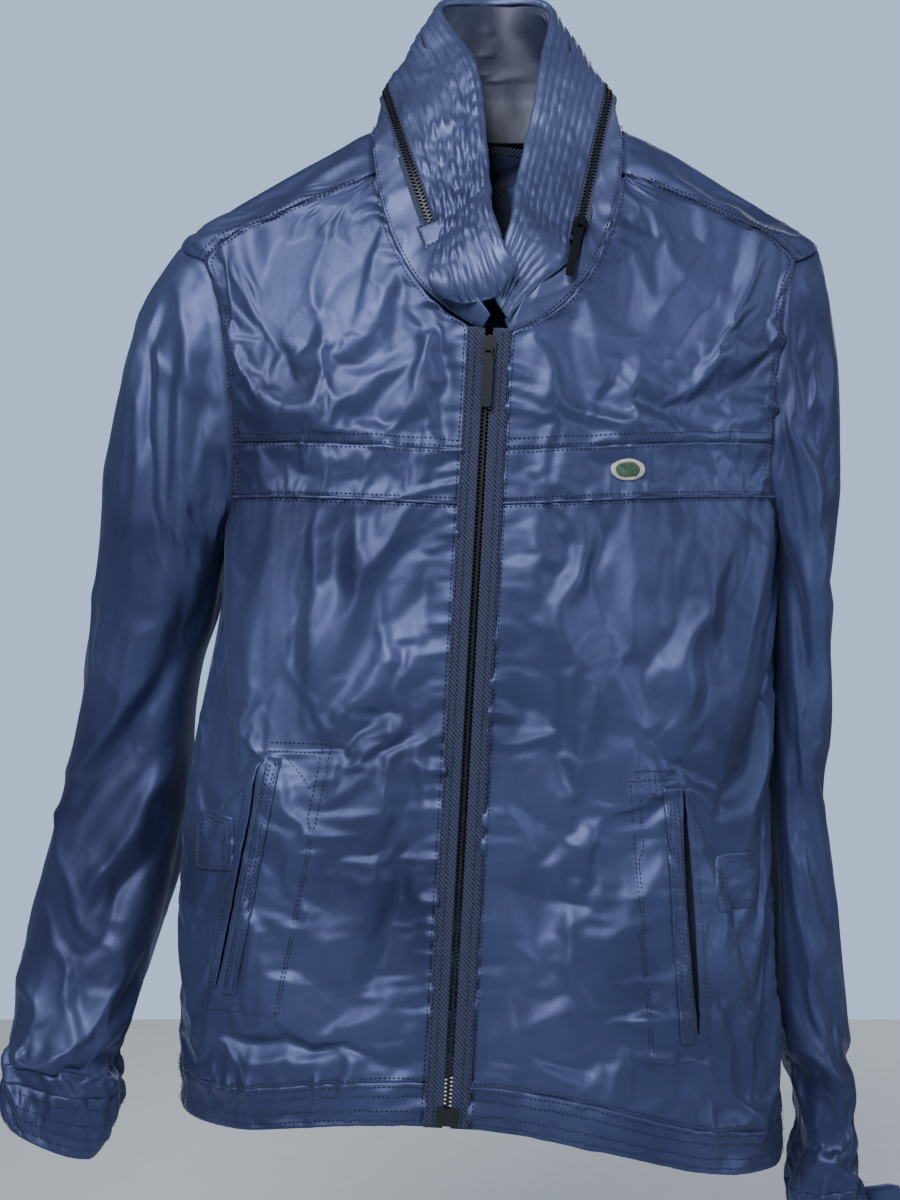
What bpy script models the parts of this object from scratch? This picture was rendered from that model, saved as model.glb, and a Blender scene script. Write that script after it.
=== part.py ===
"""A foul weather jacket hanging open-necked and zipped, as it hangs on a hanger.

The body is a stack of rounded cross-sections, cut into the panels that are sewn together. The sleeves are
lofted from the armholes, the collar is a band between the neckline and its own edge, and both zips are made
with their tapes, teeth, sliders and pulls.

Right and left are the wearer's. +Z is up and the front faces -Y. The drawing is made about the middle of the
neck, and every mesh is then moved so that the hook point of the hang loop is the origin.
"""

import math

import bmesh
import bpy
from mathutils import Matrix, Vector

# Driving dimensions, in metres.
HOOK = Vector((0.0, 0.0360, 0.0120))  # hook point of the hang loop, in the drawing frame
CLOTH = 0.0016  # shell cloth with its facing
GAP = 0.0008  # between two pieces sewn edge to edge
ROUNDNESS = 2.4  # exponent of the body's cross-section: 2 is an ellipse

ZIP_TOP_Z = -0.1375
ZIP_BOTTOM_Z = -0.656
ZIP_REF_Z = -0.140
ZIP_REF_X = -0.0075
ZIP_LEAN = 0.0548  # how far the zip runs to the wearer's right for each metre down
FRONT_REF_DEPTH = 0.080
FRONT_FLARE = 0.0377  # how much deeper the front is for each metre below the neck
TAPE_HALF = 0.0145  # from the middle of the zip to the edge of its tape
TEETH_INNER, TEETH_OUTER = 0.0006, 0.0028
TEETH_HALF_THICK = 0.0012
TAPE_INNER = 0.0031
TAPE_HALF_THICK = 0.0008

NECK_HALF_WIDTH = 0.0895
NECK_SIDE_Z = 0.020
NECK_DROP = 0.160
SIDE_SHARE = 0.33  # share of each half of the collar that lies behind the shoulder line

CHEST_SEAM_Z, CHEST_SEAM_DIP = -0.212, 0.008
PIPING_Z, PIPING_DIP = -0.249, 0.007
PIPING_RADIUS = 0.0016
HEM_HEIGHT = 0.028
BACK_YOKE_Z = -0.110
UNDERARM_Z = -0.285
YOKE_SIDE, YOKE_FRONT = 0.35, 0.55  # shares of half the yoke at the side and front of the neck
SHOULDER_TIP = (0.2300, -0.0620)

COLLAR_CLOTH = 0.0014
HOOD_TAPE_INNER, HOOD_TAPE_HALF = 0.0034, 0.0054
HOOD_ZIP_CLEAR = 0.0080  # from the middle of the hood zip to the collar cloth
HOOD_ZIP_LOW = Vector((0.0525, -0.0610, -0.0745))  # ends of its straight stretch
HOOD_ZIP_HIGH = Vector((0.0810, 0.0020, 0.0435))

NAVY = (0.022, 0.033, 0.085, 1)
NAVY_DARK = (0.012, 0.018, 0.045, 1)
BLACK = (0.010, 0.011, 0.014, 1)
STEEL = (0.10, 0.10, 0.12, 1)
MESH_BLUE = (0.02, 0.16, 0.42, 1)


# ---------------------------------------------------------------- small helpers


def lerp(a, b, t):
    return a + (b - a) * t


def spread(low, high, count):
    """count + 1 values from low to high."""
    return [lerp(low, high, i / count) for i in range(count + 1)]


def curve(*knots):
    """A smooth function through (key, value) knots; a value is a number or a Vector."""
    keys = [k for k, _ in knots]
    values = [v for _, v in knots]
    last = len(keys) - 1

    def slope(i):
        low, high = max(i - 1, 0), min(i + 1, last)
        return (values[high] - values[low]) / (keys[high] - keys[low])

    def value(key):
        key = min(max(key, keys[0]), keys[-1])
        i = max(j for j in range(last) if keys[j] <= key) if key > keys[0] else 0
        span = keys[i + 1] - keys[i]
        t = (key - keys[i]) / span
        rise = values[i + 1] - values[i]
        ends = slope(i) * span, slope(i + 1) * span
        return (
            values[i]
            + rise * (3 * t * t - 2 * t**3)
            + ends[0] * (t - 2 * t * t + t**3)
            + ends[1] * (t**3 - t * t)
        )

    return value


def material(name, colour, roughness, metallic=0.0):
    made = bpy.data.materials.new(name)
    made.use_nodes = True
    shader = made.node_tree.nodes["Principled BSDF"]
    shader.inputs["Base Color"].default_value = colour
    shader.inputs["Roughness"].default_value = roughness
    shader.inputs["Metallic"].default_value = metallic
    return made


def add_mesh(name, points, faces, finish, smooth=True):
    """A named object from points of the drawing frame, its faces turned outwards."""
    mesh = bpy.data.meshes.new(name)
    mesh.from_pydata([p - HOOK for p in points], [], faces)
    box = bmesh.new()
    box.from_mesh(mesh)
    bmesh.ops.recalc_face_normals(box, faces=box.faces)
    box.to_mesh(mesh)
    box.free()
    if smooth:
        mesh.shade_smooth()
        mesh.set_sharp_from_angle(angle=math.radians(40))
    obj = bpy.data.objects.new(name, mesh)
    bpy.context.scene.collection.objects.link(obj)
    obj.data.materials.append(finish)
    return obj


def grid_solid(name, outer, inner, finish, wrap=False):
    """The closed solid between two grids of points, given as rows. wrap joins each row's ends."""
    rows, columns = len(outer), len(outer[0])
    points = [p for grid in (outer, inner) for row in grid for p in row]
    half = rows * columns

    def at(row, column):
        return row * columns + column % columns

    faces = []
    for r in range(rows - 1):
        for c in range(columns if wrap else columns - 1):
            quad = [at(r, c), at(r, c + 1), at(r + 1, c + 1), at(r + 1, c)]
            faces += [quad, [half + i for i in reversed(quad)]]
    for r in (0, rows - 1):
        for c in range(columns if wrap else columns - 1):
            a, b = at(r, c), at(r, c + 1)
            faces.append([a, b, half + b, half + a])
    if not wrap:
        for c in (0, columns - 1):
            for r in range(rows - 1):
                a, b = at(r, c), at(r + 1, c)
                faces.append([a, b, half + b, half + a])
    return add_mesh(name, points, faces, finish)


def outward(point, u, v, away_from):
    """The unit normal of point(u, v) on the side that faces away from away_from(u, v)."""
    step = 1e-4
    along_u = point(u + step, v) - point(u - step, v)
    along_v = point(u, v + step) - point(u, v - step)
    normal = along_u.cross(along_v).normalized()
    place = point(u, v)
    return normal if normal.dot(place - away_from(u, v)) >= 0 else -normal


def cloth_solid(name, point, us, vs, finish, inside, outer=0.0, thickness=CLOTH, wrap=False):
    """A sheet of cloth: the surface point(u, v), outer metres proud of it, thickness metres thick."""
    outer_rows, inner_rows = [], []
    for v in vs:
        normals = [outward(point, u, v, inside) for u in us]
        places = [point(u, v) for u in us]
        outer_rows.append([p + n * outer for p, n in zip(places, normals)])
        inner_rows.append([p + n * (outer - thickness) for p, n in zip(places, normals)])
    return grid_solid(name, outer_rows, inner_rows, finish, wrap)


def cuboid(name, corner_low, corner_high, finish, place=None):
    """A box between two corners, moved by the matrix place."""
    place = place or Matrix.Identity(4)
    low, high = corner_low, corner_high
    points = [
        place @ Vector((x, y, z))
        for z in (low[2], high[2])
        for y in (low[1], high[1])
        for x in (low[0], high[0])
    ]
    faces = [[0, 1, 3, 2], [4, 6, 7, 5], [0, 4, 5, 1], [2, 3, 7, 6], [0, 2, 6, 4], [1, 5, 7, 3]]
    return add_mesh(name, points, faces, finish, smooth=False)


def prism(name, outline, low, high, finish, place):
    """An outline in the local (across, along) plane, extruded from low to high along the third axis."""
    count = len(outline)
    points = [place @ Vector((x, y, z)) for z in (low, high) for x, y in outline]
    faces = [list(range(count)), list(range(2 * count - 1, count - 1, -1))]
    faces += [[i, (i + 1) % count, count + (i + 1) % count, count + i] for i in range(count)]
    return add_mesh(name, points, faces, finish, smooth=False)


def combine(base, others, operation):
    """Joins the other objects to base, or cuts them from it, and removes them."""
    for other in others:
        modifier = base.modifiers.new(operation.lower(), "BOOLEAN")
        modifier.operation = operation
        modifier.object = other
        graph = bpy.context.evaluated_depsgraph_get()
        done = bpy.data.meshes.new_from_object(base.evaluated_get(graph))
        base.modifiers.clear()
        base.data = done
        bpy.data.objects.remove(other)
    return base


# ---------------------------------------------------------------- the body's surface

HALF_WIDTH = curve(
    (-0.740, 0.2160),
    (-0.466, 0.2113),
    (UNDERARM_Z, 0.1990),
    (-0.200, 0.2130),
    (-0.100, 0.2280),
    (-0.075, 0.2315),
    (-0.062, 0.2265),
    (-0.045, 0.2015),
    (-0.020, 0.1590),
    (0.000, 0.1240),
    (0.020, NECK_HALF_WIDTH),
)
CENTRE_X = curve((-0.740, -0.0115), (-0.466, -0.0133), (UNDERARM_Z, 0.0025), (0.020, 0.0))
FRONT_ABOVE = curve(
    (ZIP_REF_Z, FRONT_REF_DEPTH),
    (-0.100, 0.0700),
    (-0.062, 0.0560),
    (-0.020, 0.0400),
    (0.020, 0.0240),
)
BACK_DEPTH = curve(
    (-0.740, 0.0760),
    (-0.300, 0.0720),
    (-0.140, 0.0700),
    (-0.062, 0.0620),
    (0.020, 0.0540),
)
ARMHOLE_SIDE = curve(
    (UNDERARM_Z, 88.5),
    (-0.250, 67.5),
    (-0.200, 60.5),
    (-0.140, 59.0),
    (-0.110, 59.5),
    (-0.083, 62.0),
)
HEM_Z = curve(
    (-180.0, -0.690),
    (-90.0, -0.680),
    (-45.0, -0.680),
    (0.0, -0.670),
    (45.0, -0.708),
    (90.0, -0.716),
    (180.0, -0.690),
)


def front_depth(z):
    if z > ZIP_REF_Z:
        return FRONT_ABOVE(z)
    return FRONT_REF_DEPTH + FRONT_FLARE * (ZIP_REF_Z - z)


def power(value):
    """The superellipse's rounding of a sine or cosine."""
    return math.copysign(abs(value) ** (2 / ROUNDNESS), value)


def body(angle, z):
    """The body's outer surface. angle is 0 at the front, 90 at the wearer's left side, in degrees."""
    a = math.radians(angle)
    depth = front_depth(z) if math.cos(a) > 0 else BACK_DEPTH(z)
    return Vector(
        (CENTRE_X(z) + HALF_WIDTH(z) * power(math.sin(a)), -depth * power(math.cos(a)), z)
    )


def body_axis(angle, z):
    return Vector((CENTRE_X(z), 0, z - 0.01))


def angle_at(x, z):
    """The angle of the front point of the body at this x and z, between -90 and 90 degrees."""
    share = min(max((x - CENTRE_X(z)) / HALF_WIDTH(z), -1), 1)
    return math.degrees(math.asin(math.copysign(abs(share) ** (ROUNDNESS / 2), share)))


def front_point(x, z):
    return body(angle_at(x, z), z)


def zip_x(z):
    return ZIP_REF_X + ZIP_LEAN * (z - ZIP_REF_Z)


def neckline_x(z):
    """Half the width of the neckline at this height."""
    share = min((NECK_SIDE_Z - z) / NECK_DROP, 1)
    return NECK_HALF_WIDTH * math.sqrt(max(1 - share * share, 0))


SEAM_GAP = 0.30  # degrees between two pieces that meet along an upright seam
YOKE_LOW_Z, YOKE_HIGH_Z = -0.083, -0.021  # ends of the seam below the shoulder


def armhole_front(z):
    """The angle of the armhole's front edge at this height."""
    if z > YOKE_LOW_Z:
        share = (z - YOKE_LOW_Z) / (SHOULDER_TIP[1] - YOKE_LOW_Z)
        return lerp(ARMHOLE_SIDE(YOKE_LOW_Z), 90, min(share, 1))
    return ARMHOLE_SIDE(z)


def armhole_back(z):
    """The angle from the middle of the back to the armhole's back edge at this height."""
    if z > BACK_YOKE_Z:
        share = (z - BACK_YOKE_Z) / (SHOULDER_TIP[1] - BACK_YOKE_Z)
        return lerp(ARMHOLE_SIDE(BACK_YOKE_Z), 90, min(share, 1))
    return ARMHOLE_SIDE(z)


def seam_angle(side, z):
    """The angle of the seam below the shoulder at this height."""
    high = abs(angle_at(side * 0.0880, YOKE_HIGH_Z))
    return lerp(armhole_front(YOKE_LOW_Z), high, (z - YOKE_LOW_Z) / (YOKE_HIGH_Z - YOKE_LOW_Z))


def chest_seam_z(share):
    """share is 0 at the zip and 1 at the armhole."""
    return CHEST_SEAM_Z - CHEST_SEAM_DIP * (1 - share) ** 2


def piping_z(share):
    return PIPING_Z - PIPING_DIP * (1 - share) ** 2


def hem_seam_z(angle):
    return HEM_Z(angle) + HEM_HEIGHT


# ---------------------------------------------------------------- body panels


def inner_angle(side, z):
    """Where a front panel begins: beside the zip tape, or on the neckline."""
    beside_zip = zip_x(z) + side * (TAPE_HALF + GAP)
    on_neckline = side * (neckline_x(z) + GAP)
    if z > NECK_SIDE_Z - NECK_DROP:
        beside_zip = max(side * beside_zip, side * on_neckline) * side
    return angle_at(beside_zip, z)


def outer_angle(side, z):
    """Where a front panel ends: at the armhole, or at the side seam below it."""
    if z < UNDERARM_Z:
        return side * 89.7
    return side * (armhole_front(z) - SEAM_GAP)


def front_panel(name, side, low_z, high_z, columns, rows, finish):
    """A front panel between two seams, each given as a height for a share from zip to side."""

    def point(u, v):
        z = lerp(low_z(u), high_z(u), v)
        return body(lerp(inner_angle(side, z), outer_angle(side, z), u), z)

    return cloth_solid(
        name,
        point,
        spread(0.0002, 0.9998, columns),
        spread(0.0, 1.0, rows),
        finish,
        lambda u, v: Vector((0, 0.02, point(u, v).z - 0.02)),
    )


def front_upper(name, side, finish):
    """The chest panel: its rows run level, from the chest seam up to the yoke seam."""

    def bounds(z):
        if z < YOKE_LOW_Z:
            return inner_angle(side, z), outer_angle(side, z)
        return inner_angle(side, z), side * (seam_angle(side, z) - 2 * SEAM_GAP)

    def point(u, v):
        z = lerp(chest_seam_z(u) + GAP, -0.0245, v)
        low, high = bounds(z)
        return body(lerp(low, high, u), z)

    return cloth_solid(
        name,
        point,
        spread(0.0002, 0.9998, 9),
        spread(0.0002, 0.9998, 11),
        finish,
        lambda u, v: Vector((0, 0.02, point(u, v).z - 0.02)),
    )


def hem_back(name, finish):
    def point(angle, v):
        return body(angle, lerp(HEM_Z(signed(angle)), hem_seam_z(signed(angle)) - GAP, v))

    return cloth_solid(
        name,
        point,
        spread(90.4, 269.6, 18),
        spread(0.0, 1.0, 1),
        finish,
        body_axis,
        thickness=CLOTH * 1.5,
    )


def signed(angle):
    """The same angle between -180 and 180."""
    return angle - 360 if angle > 180 else angle


def back_panel(name, finish):
    """The back, from the hem to the yoke, between the side seams and the armholes."""

    def reach(side, z):
        if z < UNDERARM_Z:
            return 89.6
        return armhole_back(z) - SEAM_GAP

    def point(u, v):
        side = math.copysign(1, u)
        z = lerp(hem_seam_z(side * (180 - 89.6 * abs(u))) + GAP, BACK_YOKE_Z - GAP, v)
        return body(side * (180 - reach(side, z) * abs(u)), z)

    return cloth_solid(
        name,
        point,
        spread(-1.0, 1.0, 18),
        spread(0.0, 1.0, 13),
        finish,
        lambda u, v: Vector((0, -0.02, point(u, v).z - 0.02)),
    )


def yoke_line(side, out):
    """(start, top, end) of one line across the yoke, as (angle, z) pairs; out is 0 to 1 from middle to tip.

    Out on the shoulder a line runs from the front seam over the shoulder line and down the back. Nearer the
    neck it starts on the neckline.
    """
    neck_z = NECK_SIDE_Z - GAP
    end = lerp(180, 180 - armhole_back(BACK_YOKE_Z) + SEAM_GAP, out), BACK_YOKE_Z
    side_top = lerp(90, 180, 0.3), -0.030
    front_top = 90, -0.036
    if out <= YOKE_SIDE:
        share = out / YOKE_SIDE
        start = lerp(180, 90, share), neck_z
        return start, (lerp(180, side_top[0], share), side_top[1]), end
    if out <= YOKE_FRONT:
        share = (out - YOKE_SIDE) / (YOKE_FRONT - YOKE_SIDE)
        z = lerp(neck_z, YOKE_HIGH_Z, share)
        near = abs(angle_at(side * (neckline_x(z) + GAP), z))
        start = lerp(90, near, min(share * 8, 1)), z
        return start, (lerp(side_top[0], 90, share), lerp(side_top[1], front_top[1], share)), end
    share = (out - YOKE_FRONT) / (1 - YOKE_FRONT)
    z = lerp(YOKE_HIGH_Z, YOKE_LOW_Z, share)
    return (seam_angle(side, z) + SEAM_GAP, z), (90, lerp(front_top[1], SHOULDER_TIP[1] + 0.0008, share)), end


def yoke(name, finish):
    """The shoulder yoke, one piece from shoulder tip to shoulder tip, over both shoulders."""

    def point(u, v):
        side = math.copysign(1, u)
        start, top, end = yoke_line(side, abs(u))
        share, low, high = (v / 0.4, start, top) if v < 0.4 else ((v - 0.4) / 0.6, top, end)
        return body(side * lerp(low[0], high[0], share), lerp(low[1], high[1], share))

    half = spread(0.0, YOKE_SIDE, 8) + spread(YOKE_SIDE, YOKE_FRONT, 5)[1:] + spread(YOKE_FRONT, 1, 4)[1:]
    us = [-u for u in reversed(half[1:])] + half
    return cloth_solid(
        name,
        point,
        us,
        [0.0, 0.2, 0.4, 0.6, 0.8, 1.0],
        finish,
        lambda u, v: Vector((0, 0, point(u, v).z - 0.05)),
    )

def piping(name, side, finish):
    """A thin cord of piping, lying in the seam below the chest band."""
    rows = []
    sides = 6
    for u in spread(0.004, 0.985, 18):
        z = piping_z(u)
        at = body(lerp(inner_angle(side, z), outer_angle(side, z), u), z)
        out = Vector((at.x * 0.3, at.y, 0)).normalized()
        middle = at + out * (PIPING_RADIUS + 0.0006)
        ring = []
        for k in range(sides):
            turn = 2 * math.pi * k / sides
            ring.append(
                middle + (out * math.cos(turn) + Vector((0, 0, 1)) * math.sin(turn)) * PIPING_RADIUS
            )
        rows.append(ring)
    return tube_from_rings(name, rows, finish)


def tube_from_rings(name, rings, finish):
    """A solid rod through rings of points, closed at both ends."""
    size = len(rings[0])
    points = [p for ring in rings for p in ring]
    faces = []
    for r in range(len(rings) - 1):
        for k in range(size):
            after = (k + 1) % size
            faces.append([r * size + k, r * size + after, (r + 1) * size + after, (r + 1) * size + k])
    faces.append(list(range(size)))
    faces.append([(len(rings) - 1) * size + k for k in reversed(range(size))])
    return add_mesh(name, points, faces, finish)


# ---------------------------------------------------------------- sleeves

# Rings down each sleeve: outer (x, z), inner (x, z), middle y, half depth. The armhole comes before them.
RIGHT_RINGS = (
    ((-0.2580, -0.1050), (-0.2065, -0.3000), 0.012, 0.056),
    ((-0.2790, -0.1700), (-0.2135, -0.3280), 0.018, 0.056),
    ((-0.2935, -0.2450), (-0.2255, -0.3620), 0.026, 0.054),
    ((-0.3050, -0.3300), (-0.2335, -0.4120), 0.034, 0.052),
    ((-0.3185, -0.4120), (-0.2335, -0.4600), 0.038, 0.050),
    ((-0.3330, -0.4900), (-0.2405, -0.5150), 0.032, 0.048),
    ((-0.3480, -0.5650), (-0.2560, -0.5750), 0.015, 0.044),
    ((-0.3580, -0.6280), (-0.2650, -0.6320), -0.008, 0.038),
    ((-0.3520, -0.6550), (-0.2700, -0.6720), -0.018, 0.030),
)
RIGHT_CUFF = (
    ((-0.3515, -0.6580), (-0.2705, -0.6750), -0.018, 0.029),
    ((-0.3510, -0.6720), (-0.2760, -0.6990), -0.024, 0.026),
    ((-0.3470, -0.6860), (-0.2840, -0.7130), -0.028, 0.026),
)
LEFT_RINGS = (
    ((0.2435, -0.1200), (0.2070, -0.3020), 0.008, 0.054),
    ((0.2455, -0.2000), (0.2085, -0.3300), 0.016, 0.055),
    ((0.2465, -0.2800), (0.2080, -0.3650), 0.026, 0.056),
    ((0.2475, -0.3600), (0.2030, -0.4200), 0.038, 0.056),
    ((0.2470, -0.4400), (0.1995, -0.4750), 0.044, 0.055),
    ((0.2530, -0.5120), (0.1995, -0.5300), 0.042, 0.054),
    ((0.2610, -0.5800), (0.2015, -0.5900), 0.034, 0.050),
    ((0.2640, -0.6400), (0.2080, -0.6500), 0.020, 0.045),
    ((0.2600, -0.6900), (0.2105, -0.6980), 0.008, 0.040),
    ((0.2575, -0.7350), (0.2120, -0.7420), -0.002, 0.033),
)
LEFT_CUFF = (
    ((0.2575, -0.7380), (0.2122, -0.7450), -0.002, 0.032),
    ((0.2625, -0.7520), (0.2125, -0.7600), -0.006, 0.028),
    ((0.2670, -0.7670), (0.2145, -0.7740), -0.010, 0.027),
)
SLEEVE_SIDES = 18


def armhole_point(side, turn):
    """The sleeve's edge: turn 0 is at the shoulder tip, 90 at the front, 180 under the arm."""
    a = math.radians(turn)
    top, low = SHOULDER_TIP[1] - 0.001, UNDERARM_Z + 0.001
    z = (top + low) / 2 + (top - low) / 2 * math.cos(a)
    edge = body(side * (armhole_front(z) if math.sin(a) > 0 else 180 - armhole_back(z)), z)
    if abs(math.sin(a)) < 1e-6:
        edge.y = 0
    return edge + Vector((side * 0.0030, 0, 0))


def ring_point(ring, turn):
    outer, inner, middle_y, half_depth = ring
    a = math.radians(turn)
    cos, sin = math.cos(a), math.sin(a)
    cos = math.copysign(abs(cos) ** 0.88, cos)
    sin = math.copysign(abs(sin) ** 0.88, sin)
    middle = Vector((outer[0] + inner[0], 0, outer[1] + inner[1])) / 2
    reach = Vector((outer[0] - inner[0], 0, outer[1] - inner[1])) / 2
    return middle + reach * cos + Vector((0, middle_y - half_depth * sin, 0))


def ring_centre(ring):
    outer, inner, middle_y, _ = ring
    return Vector(((outer[0] + inner[0]) / 2, middle_y, (outer[1] + inner[1]) / 2))


def tube_surface(rings, first=None):
    """point(turn, t) through the rings, t counting rings; first(turn) is the ring before them."""

    def point(turn, t):
        knots = [(0.0, first(turn))] if first else []
        knots += [(float(len(knots) + i), ring_point(ring, turn)) for i, ring in enumerate(rings)]
        return curve(*knots)(t)

    return point


def sleeve(name, side, rings, finish):
    point = tube_surface(rings, lambda turn: armhole_point(side, turn))
    middle = [Vector((side * 0.2, 0, -0.17))] + [ring_centre(r) for r in rings]
    centre = curve(*[(float(i), m) for i, m in enumerate(middle)])
    return cloth_solid(
        name,
        point,
        [i * 360 / SLEEVE_SIDES for i in range(SLEEVE_SIDES)],
        [0.0, 0.5] + spread(1.0, float(len(rings)), len(rings) - 1),
        finish,
        lambda turn, t: centre(t),
        wrap=True,
    )


def cuff(name, rings, finish):
    point = tube_surface(rings)
    centre = curve(*[(float(i), ring_centre(r)) for i, r in enumerate(rings)])
    return cloth_solid(
        name,
        point,
        [i * 360 / SLEEVE_SIDES for i in range(SLEEVE_SIDES)],
        spread(0.0, 2.0, 2),
        finish,
        lambda turn, t: centre(t),
        thickness=CLOTH * 1.5,
        wrap=True,
    )


# ---------------------------------------------------------------- collar

# Where the collar's top edge runs, by share: -1 is the wearer's right front, 0 the back, 1 the left front.
COLLAR_TOP = curve(
    (-1.0, Vector((-0.0050, -0.0890, -0.1130))),
    (-0.90, Vector((-0.0035, -0.0800, -0.0850))),
    (-0.78, Vector((-0.0065, -0.0650, -0.0480))),
    (-0.66, Vector((-0.0095, -0.0470, -0.0080))),
    (-0.54, Vector((-0.0120, -0.0280, 0.0330))),
    (-0.42, Vector((-0.0175, -0.0090, 0.0670))),
    (-0.20, Vector((-0.0420, 0.0280, 0.1210))),
    (0.0, Vector((0.0, 0.0470, 0.1310))),
    (0.20, Vector((0.0400, 0.0280, 0.1200))),
    (0.42, Vector((0.0310, -0.0090, 0.0580))),
    (0.54, Vector((0.0257, -0.0280, 0.0180))),
    (0.66, Vector((0.0210, -0.0450, -0.0180))),
    (0.78, Vector((0.0170, -0.0600, -0.0480))),
    (0.90, Vector((0.0134, -0.0730, -0.0780))),
    (1.0, Vector((0.0105, -0.0890, -0.1130))),
)
COLLAR_DEPTH = curve(
    (0.0, 0.0095),
    (0.20, 0.0072),
    (SIDE_SHARE, 0.0056),
    (0.72, 0.0056),
    (0.85, 0.0042),
    (1.0, 0.0032),
)


def collar_base(w):
    """The neckline seam on the body's surface."""
    side, out = math.copysign(1, w), abs(w)
    if out < SIDE_SHARE:
        return body(side * lerp(180, 90, out / SIDE_SHARE), NECK_SIDE_Z)
    reach = 80 if side > 0 else 73
    turn = math.radians(((out - SIDE_SHARE) / (1 - SIDE_SHARE)) ** 1.12 * reach)
    z = NECK_SIDE_Z - NECK_DROP * math.sin(turn)
    return body(angle_at(side * NECK_HALF_WIDTH * math.cos(turn), z), z)


HOOD_CURVE = curve(
    (-1.0, Vector((-0.0173, -0.0829, -0.1246))),
    (-0.85, Vector((-0.0332, -0.0735, -0.0974))),
    (-0.70, Vector((-0.0475, -0.0600, -0.0620))),
    (-0.52, Vector((-0.0635, -0.0390, -0.0120))),
    (-SIDE_SHARE, Vector((-0.0790, 0.0020, 0.0430))),
    (-0.27, Vector((-0.0808, 0.0130, 0.0540))),
    (-0.20, Vector((-0.0735, 0.0300, 0.0625))),
    (-0.10, Vector((-0.0455, 0.0500, 0.0640))),
    (0.0, Vector((0.0, 0.0590, 0.0640))),
    (0.10, Vector((0.0455, 0.0500, 0.0640))),
    (0.20, Vector((0.0735, 0.0300, 0.0625))),
    (0.27, Vector((0.0812, 0.0125, 0.0545))),
    (SIDE_SHARE, HOOD_ZIP_HIGH),
    (0.36, lerp(HOOD_ZIP_HIGH, HOOD_ZIP_LOW, 0.03 / 0.37)),
    (0.67, lerp(HOOD_ZIP_HIGH, HOOD_ZIP_LOW, 0.34 / 0.37)),
    (0.70, HOOD_ZIP_LOW),
    (0.76, Vector((0.0470, -0.0690, -0.0905))),
    (0.88, Vector((0.0281, -0.0745, -0.1075))),
    (1.0, Vector((0.0134, -0.0832, -0.1273))),
)


def zip_clear(w):
    """From the middle of the hood zip to the collar cloth; beyond the zip's ends only a seam is left."""
    beyond = min(max((abs(w) - 0.74) / 0.08, 0), 1)
    return lerp(HOOD_ZIP_CLEAR, GAP, beyond)


def hood_line(w):
    """The middle of the hood zip. Its stretch on the wearer's left is straight."""
    if SIDE_SHARE <= w <= 0.70:
        return lerp(HOOD_ZIP_HIGH, HOOD_ZIP_LOW, (w - SIDE_SHARE) / (0.70 - SIDE_SHARE))
    return HOOD_CURVE(w)


def hood_across(w):
    """The direction across the hood zip, towards the collar's top edge."""
    along = (hood_line(w + 0.001) - hood_line(w - 0.001)).normalized()
    up = (COLLAR_TOP(w) - collar_base(w)).normalized()
    straight = SIDE_SHARE - 0.005 <= w <= 0.705
    if straight:
        along = (HOOD_ZIP_LOW - HOOD_ZIP_HIGH).normalized()
        up = Vector((-0.040, 0.016, 0.049)).normalized()
    elif w > 0:
        near = min(abs(w - SIDE_SHARE), abs(w - 0.70)) / 0.15
        up = lerp(Vector((-0.040, 0.016, 0.049)).normalized(), up, min(near, 1)).normalized()
    return (up - along * up.dot(along)).normalized()


def collar_surface(w, v):
    """v is 0 at the neckline, 0.3 at the hood zip and 1 at the top edge."""
    if v < 0.3:
        return lerp(collar_base(w), hood_line(w), v / 0.3)
    return lerp(hood_line(w), COLLAR_TOP(w), (v - 0.3) / 0.7)


COLLAR_OUT = curve(
    (0.0, Vector((0.0, 1.0, 0.2))),
    (0.20, Vector((0.8, 0.6, 0.3))),
    (SIDE_SHARE, Vector((0.8, -0.4, 0.4))),
    (0.45, Vector((0.3, -0.8, 0.45))),
    (1.0, Vector((0.1, -0.9, 0.3))),
)


def behind(point):
    """A point well inside the collar from point(w, v), for turning its faces outwards."""

    def inside(w, v):
        hint = COLLAR_OUT(abs(w))
        return point(w, v) - Vector((math.copysign(hint.x, w), hint.y, hint.z))

    return inside


def lower_band(name, finish):
    def point(w, v):
        start = collar_base(w)
        end = hood_line(w) - hood_across(w) * zip_clear(w)
        lift = (end - start).normalized() * 2 * GAP
        return lerp(start + lift, end, v)

    return cloth_solid(
        name,
        point,
        COLLAR_STEPS,
        spread(0.0, 1.0, 2),
        finish,
        behind(point),
        thickness=COLLAR_CLOTH,
    )


def upper_band(name, finish):
    def point(w, v):
        return lerp(hood_line(w) + hood_across(w) * zip_clear(w), COLLAR_TOP(w), v)

    return cloth_solid(
        name,
        point,
        COLLAR_STEPS,
        spread(0.0, 1.0, 4),
        finish,
        behind(point),
        thickness=COLLAR_CLOTH,
    )


ZIP_END = 0.70
ZIP_STEPS = spread(-ZIP_END, -SIDE_SHARE, 8)
ZIP_STEPS += spread(-SIDE_SHARE, SIDE_SHARE, 16)[1:]
ZIP_STEPS += spread(SIDE_SHARE, ZIP_END, 8)[1:]
COLLAR_STEPS = spread(-1.0, -ZIP_END, 5)[:-1] + ZIP_STEPS + spread(ZIP_END, 1.0, 5)[1:]


def collar_inset(w, v):
    """How far inside the collar's outer surface its lining lies."""
    return 0.0030 + (COLLAR_DEPTH(abs(w)) - 0.0030) * (1 - v**3)


def inset_solid(name, ws, vs, near, far, finish):
    """The solid between two depths inside the collar's surface; near and far are functions of (w, v)."""
    outer, inner = [], []
    for v in vs:
        normals = [outward(collar_surface, w, v, behind(collar_surface)) for w in ws]
        places = [collar_surface(w, v) for w in ws]
        outer.append([p - n * near(w, v) for p, n, w in zip(places, normals, ws)])
        inner.append([p - n * far(w, v) for p, n, w in zip(places, normals, ws)])
    return grid_solid(name, outer, inner, finish)


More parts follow.
